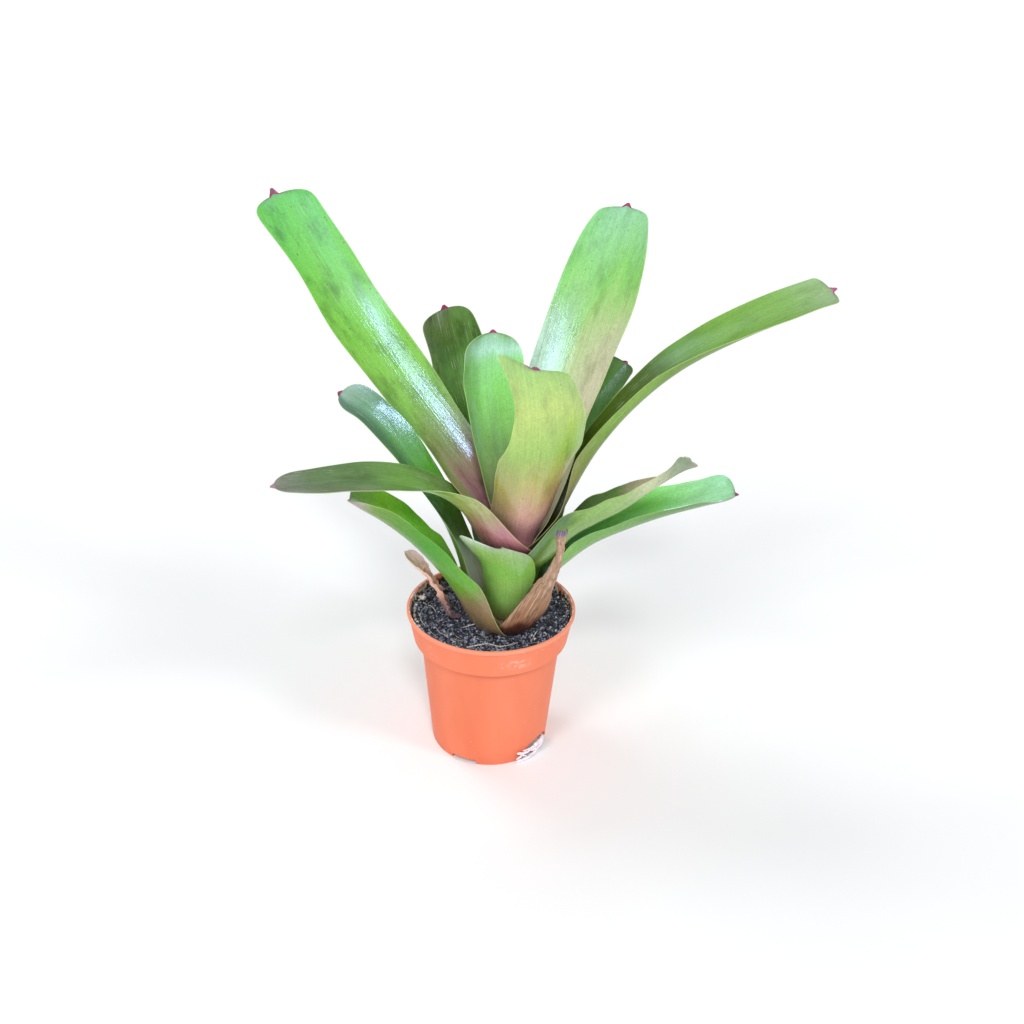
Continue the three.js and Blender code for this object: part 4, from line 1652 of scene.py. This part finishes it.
@dataclass
class PottingSoil:
    """The black crumbly soil, with loose granules, straw and white bits on top, in millimetres."""

    top: float = SOIL_TOP
    radius: float = 56.0
    hole: Span = (10.0, -4.0)
    gap: float = 0.3
    sides: tuple[Span, ...] = ((0, 5.8), (40, 5.8), (48.3, 83.8), (53.8, 88.8))
    hole_depths: tuple[float, ...] = (-4.0, -8.0, -12.0, -16.3)
    rings: int = 74
    sectors: int = 360
    granules: int = 8200
    seed: int = 11
    pocket: tuple[float, float, float, float] = (-34.0, 42.5, 7.5, 20.0)
    swell: float = 1.2
    bank: float = 2.6
    crumb_heights: tuple[tuple[float, float, int], ...] = ((1.1, 2.7, 3), (0.8, 1.5, 4), (0.4, 0.8, 5))
    clear_round_plant: float = 19.0
    straw_above: float = 1.0
    straw: tuple[Spot, ...] = ((-20, -21, 103.6), (-15.6, -19.5, 104.2), (-9, -21, 108), (-1, -21.5, 113.6))
    litter: tuple[tuple[float, tuple[Span, ...]], ...] = (
        (0.5, ((-20, -42), (-14.3, -43), (-2.3, -39.8), (8, -41), (19.5, -36.5))),
        (0.3, ((-43, 34), (-52, 24), (-50, 10), (-43, 6), (-38, -4))),
        (0.26, ((-53, 6), (-50, 20), (-46, 33), (-41, 30))),
        (0.22, ((-35, -36), (-44, -24), (-50, -10), (-47, 8), (-44, 16))),
        (0.42, ((28.4, -37), (30, -30), (32, -24), (33.4, -20))),
        (0.2, ((-40, -16), (-34, -28), (-24, -38), (-16, -44))),
    )
    fibres: int = 60
    white_bits: tuple[Spot, ...] = (
        (-49.8, 11.8, 2.1), (22, -46, 0.9), (5, -50, 0.7), (9, -52, 0.6), (-44, -20, 0.8), (46, -8, 0.7),
        (-20, -44, 0.5), (47, 14, 0.7), (52, -6, 0.9), (50, -16, 0.6), (31, -34, 0.9), (-36, 30, 0.7),
    )
    crust: tuple[tuple[float, float, int], ...] = ((160, 214, 110), (-25, 20, 30))

    def height(self, x: Array, y: Array) -> Array:
        """Give the soil's height above its mean, from broad lumps down to crumbs.

        Args:
            x: places along X.
            y: places along Y.

        Returns:
            A height for each place.
        """
        broad = np.sin(0.31 * x + 1.7) * np.cos(0.27 * y - 0.6) + 0.6 * np.sin(0.53 * x - 0.41 * y + 2.1)
        from_plant = np.hypot(x - self.hole[0], y - self.hole[1])
        from_wall = self.radius - np.hypot(x, y)
        calm = step_between(30, 38, from_plant) * step_between(0, 4, from_wall)
        crumbs = [h * lumps(x, y, apart, seed) for h, apart, seed in self.crumb_heights]
        rough = step_between(17, 20, from_plant) * step_between(0, 1.5, from_wall)
        bank = self.bank * step_between(11, 3, from_wall) * (1 + 0.5 * lumps(x, y, 9, 6))
        bank = bank * step_between(0, 1.2, from_wall)
        return self.swell * broad * calm + bank + (np.abs(crumbs[0]) + sum(crumbs[1:]) - 0.6) * rough

    def surface_at(self, x: float, y: float) -> float:
        """Give how high the soil's surface is at one place."""
        return self.top + float(self.height(np.array(float(x)), np.array(float(y))))

    def ring(self, radius: float, z: float, x: float = 0.0, y: float = 0.0) -> Array:
        """Give a level ring of points round a place."""
        turn = np.linspace(0, math.tau, self.sectors + 1)
        return np.stack([x + radius * np.cos(turn), y + radius * np.sin(turn), np.full_like(turn, z)], -1)

    def body(self) -> Piece:
        """Make the closed soil body, with the stem's hole in its top and a hollow by the drain opening.

        Returns:
            The body.
        """
        rows = [self.ring(r, z) for r, z in (*self.sides, (self.radius, self.top - 0.6))]
        outline = self.ring(self.radius, self.top)
        hole = self.ring(STEM_LINE.radius(0.0) + self.gap, self.top, *self.hole)
        for t in np.linspace(0, 1, self.rings + 1):
            ring = outline * (1 - t) + hole * t
            ring[:, 2] += self.height(ring[:, 0], ring[:, 1])
            rows.append(ring)
        for h in self.hole_depths:
            middle = float(STEM_LINE.shift(np.array(h))) + CROWN[0], self.hole[1]
            rows.append(self.ring(STEM_LINE.radius(h) + self.gap, self.top + h, *middle))
        rows.append(self.ring(0.0, self.top + h, *middle))
        points = np.array(rows)
        points[:, -1] = points[:, 0]
        soil = close_up(woven_sheet("potting_soil", points))
        face_outwards(soil)
        azimuth, reach, z, across = self.pocket
        a = math.radians(azimuth)
        deselect()
        bpy.ops.mesh.primitive_cylinder_add(
            vertices=48, radius=across * MM, depth=across * MM,
            location=(reach * math.cos(a) * MM, reach * math.sin(a) * MM, z * MM),
        )
        carve(soil, named("pocket"))
        smooth(soil, 75)
        return soil

    def crumbs(self) -> Piece:
        """Scatter loose granules over the top, as one piece, each with its own shade.

        Returns:
            The granules.
        """
        rng = np.random.default_rng(self.seed)
        deselect()
        bpy.ops.mesh.primitive_ico_sphere_add(subdivisions=1, radius=1)
        base = named("soil_granules")
        unit = read_points(base)
        clods = []
        while len(clods) < self.granules:
            r, a = self.radius * math.sqrt(rng.uniform()), rng.uniform(0, math.tau)
            x, y = r * math.cos(a), r * math.sin(a)
            size = 0.34 + 0.9 * rng.uniform() ** 2.6
            from_plant = math.hypot(x - self.hole[0], y - self.hole[1])
            if from_plant < self.clear_round_plant + size or r > self.radius - size * 0.8:
                continue
            turn = np.linalg.qr(rng.normal(size=(3, 3)))[0]
            turn[:, 0] *= np.sign(np.linalg.det(turn))
            shape = unit * rng.uniform(0.7, 1.25, (len(unit), 1)) * size * rng.uniform(0.6, 1.25, 3)
            z = self.surface_at(x, y) + size * rng.uniform(0.1, 0.8)
            clods.append(shape @ turn.T + np.array([x, y, z]))
        modify(base, "ARRAY", count=self.granules, relative_offset_displace=(2.0, 0, 0))
        move_points(base, np.concatenate(clods))
        give(base, "shade", np.repeat(0.1 + 0.9 * rng.uniform(size=self.granules) ** 1.4, len(unit)))
        return base

    def laid(self, x: Array, y: Array, thick: Array, sides: int) -> Piece:
        """Lay a thin strand on the granules.

        Args:
            x: its way along X.
            y: its way along Y.
            thick: its radius at each point.
            sides: faces round it.

        Returns:
            The strand.
        """
        z = self.top + self.height(x, y) + self.straw_above
        z = np.convolve(np.pad(z, 3, "edge"), np.ones(7) / 7, "valid") + 0.25
        return tube(np.stack([x, y, z], -1), thick, sides)

    def straws(self) -> Piece:
        """Lay the straw, the twig and many hair-thin fibres.

        Returns:
            All of them as one piece.
        """
        rng = np.random.default_rng(self.seed + 1)
        t = np.linspace(0, 1, 14)
        strands = [tube(curve_through(self.straw, t), 0.42 * np.sin(0.35 + 2.4 * t), 6)]
        t = np.linspace(0, 1, 26)
        for radius, way in self.litter:
            strands.append(self.laid(*curve_through(way, t).T, radius * np.sin(0.3 + 2.5 * t), 6))
        t = np.linspace(0, 1, 12)
        for _ in range(self.fibres):
            a, r = rng.uniform(0, math.tau), rng.uniform(26, 53)
            b, length, bend = rng.uniform(0, math.tau), rng.uniform(5, 16), rng.uniform(-0.25, 0.25)
            ahead, aside = length * t, length * bend * np.sin(math.pi * t)
            x = r * math.cos(a) + ahead * math.cos(b) - aside * math.sin(b)
            y = r * math.sin(a) + ahead * math.sin(b) + aside * math.cos(b)
            far = np.maximum(np.hypot(x, y) / (self.radius - 1.5), 1)
            x, y = x / far, y / far
            if np.hypot(x - self.hole[0], y - self.hole[1]).min() > 20:
                strands.append(self.laid(x, y, rng.uniform(0.08, 0.16) * np.sin(0.3 + 2.5 * t), 5))
        return joined(strands, "soil_fibres")

    def grit(self) -> Piece:
        """Drop a pale lump and white bits among the granules, and lime crust along the rim.

        Returns:
            All of them as one piece.
        """
        rng = np.random.default_rng(self.seed + 2)
        turns = np.radians(np.concatenate([rng.uniform(*stretch) for stretch in self.crust]))
        reaches = rng.uniform(54.0, 55.2, len(turns))
        sizes = 0.25 + 0.6 * rng.uniform(size=len(turns)) ** 2
        crust = zip(reaches * np.cos(turns), reaches * np.sin(turns), sizes)
        bits = []
        for x, y, size in (*self.white_bits, *crust):
            deselect()
            bpy.ops.mesh.primitive_ico_sphere_add(subdivisions=3 if size > 1 else 2, radius=size * MM)
            bits.append(named("bit"))
            shape = read_points(bits[-1]) / MM
            swell = 1 + 0.22 * lumps(shape[:, 0] * 3 + 9, shape[:, 1] * 3 + shape[:, 2] * 2, size, 21)
            shape = shape * (swell[:, None] * (1.2, 0.9, 0.7))
            move_points(bits[-1], shape + np.array([x, y, self.surface_at(x, y) + size * 0.5 + 0.4]))
        return joined(bits, "white_grit")

    def build(self) -> None:
        """Make the body, the granules and the litter, and dress them."""
        soil, crumbs, damp = self.body(), self.crumbs(), DampSoil().material()
        dress(soil, damp, Slot.SOIL, "soil")
        dress(crumbs, damp, Slot.SOIL)
        dress(self.straws(), PlainFibre("dry_straw", "e4dcd0", "a8a094").material(), Slot.ROOT)
        dress(self.grit(), PlainFibre("white_grit", "e8e0d8", "a89c94").material(), Slot.ROOT)


# ---------------------------------------------------------------- roots and stem
@dataclass
class DrainRoots:
    """Pale roots that come out of the foot's tall opening and lie along the wall.

    A strand is its radius and a path of azimuth in degrees, reach and height.
    """

    strands: tuple[tuple[float, tuple[Spot, ...]], ...] = (
        (1.5, ((-24, 38, 8), (-24, 43, 8.6), (-30, 45, 9.6), (-38, 45, 9), (-45, 44.8, 7.5))),
        (1.2, ((-20, 38, 4), (-22, 42.6, 4.5), (-29, 44.6, 5.5), (-37, 44.6, 5), (-46, 44.8, 6.5))),
        (1.1, ((-30, 40, 1.8), (-34, 43, 2), (-42, 44.6, 2.4), (-52, 44.8, 1.5), (-62, 44.6, 1.2))),
        (1.0, ((-38, 44.8, 9), (-45, 44.8, 7.6), (-53, 44.9, 7.2), (-62, 45.2, 9.4))),
        (0.7, ((-45, 44.8, 7), (-52, 44.8, 7), (-57, 45, 5.6), (-62, 44.8, 3.4))),
        (0.9, ((-31, 44.8, 9.5), (-36, 44.6, 6), (-40, 44.5, 2.4))),
        (0.5, ((-40, 45.2, 9.2), (-48, 45.3, 9.4), (-56, 45.6, 10.2))),
        (0.45, ((-50, 45, 2.6), (-54, 45.1, 5.2), (-58, 45.2, 6.6))),
        (0.4, ((-26, 45.4, 6.5), (-33, 45.6, 7.4), (-41, 45.6, 4.4), (-49, 45.3, 4.0))),
    )
    points: int = 44
    sides: int = 12
    skin: PlainFibre = PlainFibre("root_skin", "fffafc", "e0ccd4", 0.0001)

    def build(self) -> None:
        """Draw each strand with knots and a blunt end, and dress them as one piece."""
        made = []
        t = np.linspace(0, 1, self.points)
        for k, (radius, path) in enumerate(self.strands):
            azimuth, reach, z = curve_through(path, t).T
            a = np.radians(azimuth)
            z = z + 0.25 * lumps(t * 30, 0 * t, 6.0, 40 + k)
            reach = reach + 0.15 * lumps(t * 30, 0 * t + 9, 5.0, 60 + k)
            knots = 1 + 0.12 * lumps(t * 40, 0 * t, 5.0, 80 + k)
            end = np.minimum(1, 0.35 + 3.2 * np.minimum(t, 1 - t) ** 0.7)
            points = np.stack([reach * np.cos(a), reach * np.sin(a), z], -1)
            made.append(tube(points, radius * knots * end, self.sides))
        roots = joined(made, "pale_roots")
        smooth(roots, 60)
        dress(roots, self.skin.material(), Slot.ROOT, "drain_roots")


@dataclass
class Stem:
    """The stem, which keeps its own solid and gets a fibrous green-brown skin."""

    brown: str = "5c4434"
    green: str = "8a9a5c"
    thread: str = "b89c7c"
    turns_green: Span = (0.1, 0.15)
    relief: float = 0.0005

    def build(self) -> None:
        """Dress the stem's solid."""
        material, w, surface = new_material("stem_skin", specular=0.3)
        place = w.place()
        fibre = w.noise(place, (500, 500, 40))
        colour = w.mix(w.remap(w.parts(place)[2], *self.turns_green), self.brown, self.green)
        colour = w.over(colour, self.thread, w.remap(fibre, 0.4, 0.7), 0.5)
        w.cover(surface, colour, w.remap(fibre, 0.3, 0.7, (0.55, 0.8)), w.bump(fibre, self.relief, 0.8))
        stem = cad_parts["stem"]
        stem.data.materials.clear()
        stem.data.materials.append(material)
        LOG.info("%s: %d faces", stem.name, len(stem.data.polygons))


# ---------------------------------------------------------------- studio
@dataclass(frozen=True)
class WideLamp:
    """A far, wide lamp, whose light comes from one part of the sky.

    azimuth and elevation are in degrees, spread is how wide it looks, and strength is in
    watts a square metre.
    """

    name: str
    azimuth: float
    elevation: float
    spread: float
    strength: float
    colour: str = "f8fbff"
    away: float = 2.0

    def hang(self) -> None:
        """Hang the lamp and turn it to the plant."""
        a, e = math.radians(self.azimuth), math.radians(self.elevation)
        back = np.array([math.cos(a) * math.cos(e), math.sin(a) * math.cos(e), math.sin(e)])
        lamp = bpy.data.lights.new(self.name, "SUN")
        lamp.energy, lamp.angle = self.strength, math.radians(self.spread)
        lamp.color = linear(self.colour)[:3]
        across = np.cross([0, 0, 1.0], back)
        across /= np.linalg.norm(across)
        aimed(bpy.data.objects.new(self.name, lamp), across, np.cross(back, across), back, back * self.away)


@dataclass
class Studio:
    """The floor, the soft lights and the camera.

    The target and the distance are in millimetres, the angles in degrees, and the floor in metres.
    """

    target: Spot = (13.0, 0.0, 184.4)
    distance: float = 696.1
    pitch: float = 26.64
    roll: float = 1.56
    lens: float = 36
    clip: Span = (0.05, 100)
    floor_colour: str = "f6f6f6"
    floor_dullness: float = 0.9
    floor_sides: int = 96
    sky: float = 0.4
    sweep: tuple[Span, ...] = ((9.0, 2.4), (7.5, 1.3), (6.0, 0.55), (5.0, 0.15), (4.0, 0.0))
    lamps: tuple[WideLamp, ...] = (
        WideLamp("left_key", -126, 40, 17, 0.85), WideLamp("middle_key", -82, 47, 11, 1.05),
        WideLamp("right_fill", -28, 39, 12, 0.65), WideLamp("back", 143, 53, 20, 0.65),
    )

    def camera(self) -> None:
        """Stand the camera in front of the plant, looking down at it."""
        p, r = math.radians(self.pitch), math.radians(self.roll)
        ahead = np.array([0, math.cos(p), -math.sin(p)])
        right, up = np.array([1.0, 0, 0]), np.array([0, math.sin(p), math.cos(p)])
        lens = bpy.data.cameras.new("camera")
        lens.lens = lens.sensor_width = self.lens
        lens.sensor_fit = "HORIZONTAL"
        lens.clip_start, lens.clip_end = self.clip
        place = (np.array(self.target) - ahead * self.distance) * MM
        bpy.context.scene.camera = aimed(
            bpy.data.objects.new("camera", lens), math.cos(r) * right + math.sin(r) * up,
            -math.sin(r) * right + math.cos(r) * up, -ahead, place,
        )

    def floor(self) -> None:
        """Press a wide disc down into a flat floor with a rising edge all round."""
        floor = pulled_disc("floor", self.sweep, self.floor_sides, 1.0)
        material, _, surface = new_material("floor_paint", specular=0.1)
        surface.inputs["Base Color"].default_value = linear(self.floor_colour)
        surface.inputs["Roughness"].default_value = self.floor_dullness
        floor.data.materials.append(material)

    def build(self) -> None:
        """Stand the camera, lay the floor, light the world and hang the lamps."""
        self.camera()
        self.floor()
        world = bpy.data.worlds.new("studio")
        world.use_nodes = True
        sky = world.node_tree.nodes["Background"].inputs
        sky["Color"].default_value, sky["Strength"].default_value = (1, 1, 1, 1), self.sky
        bpy.context.scene.world = world
        for lamp in self.lamps:
            lamp.hang()
        bpy.context.scene.view_settings.view_transform = "Standard"


def main() -> None:
    """Light the studio and build the potted plant piece by piece."""
    logging.basicConfig(level=logging.INFO, format="%(name)s: %(message)s")
    for part in (Studio(), NurseryPot(), PottingSoil(), DrainRoots(), Stem()):
        part.build()
    skins = {LeafFinish: LeafSkin(), DryFinish: DrySkin()}
    for leaf in (*LEAVES, *DEAD_LEAVES):
        finish = skins[type(leaf.finish)].material(f"{leaf.name}_skin", leaf.finish)
        dress(leaf.build(), finish, leaf.slot, leaf.name)


if __name__ == "__main__":
    main()
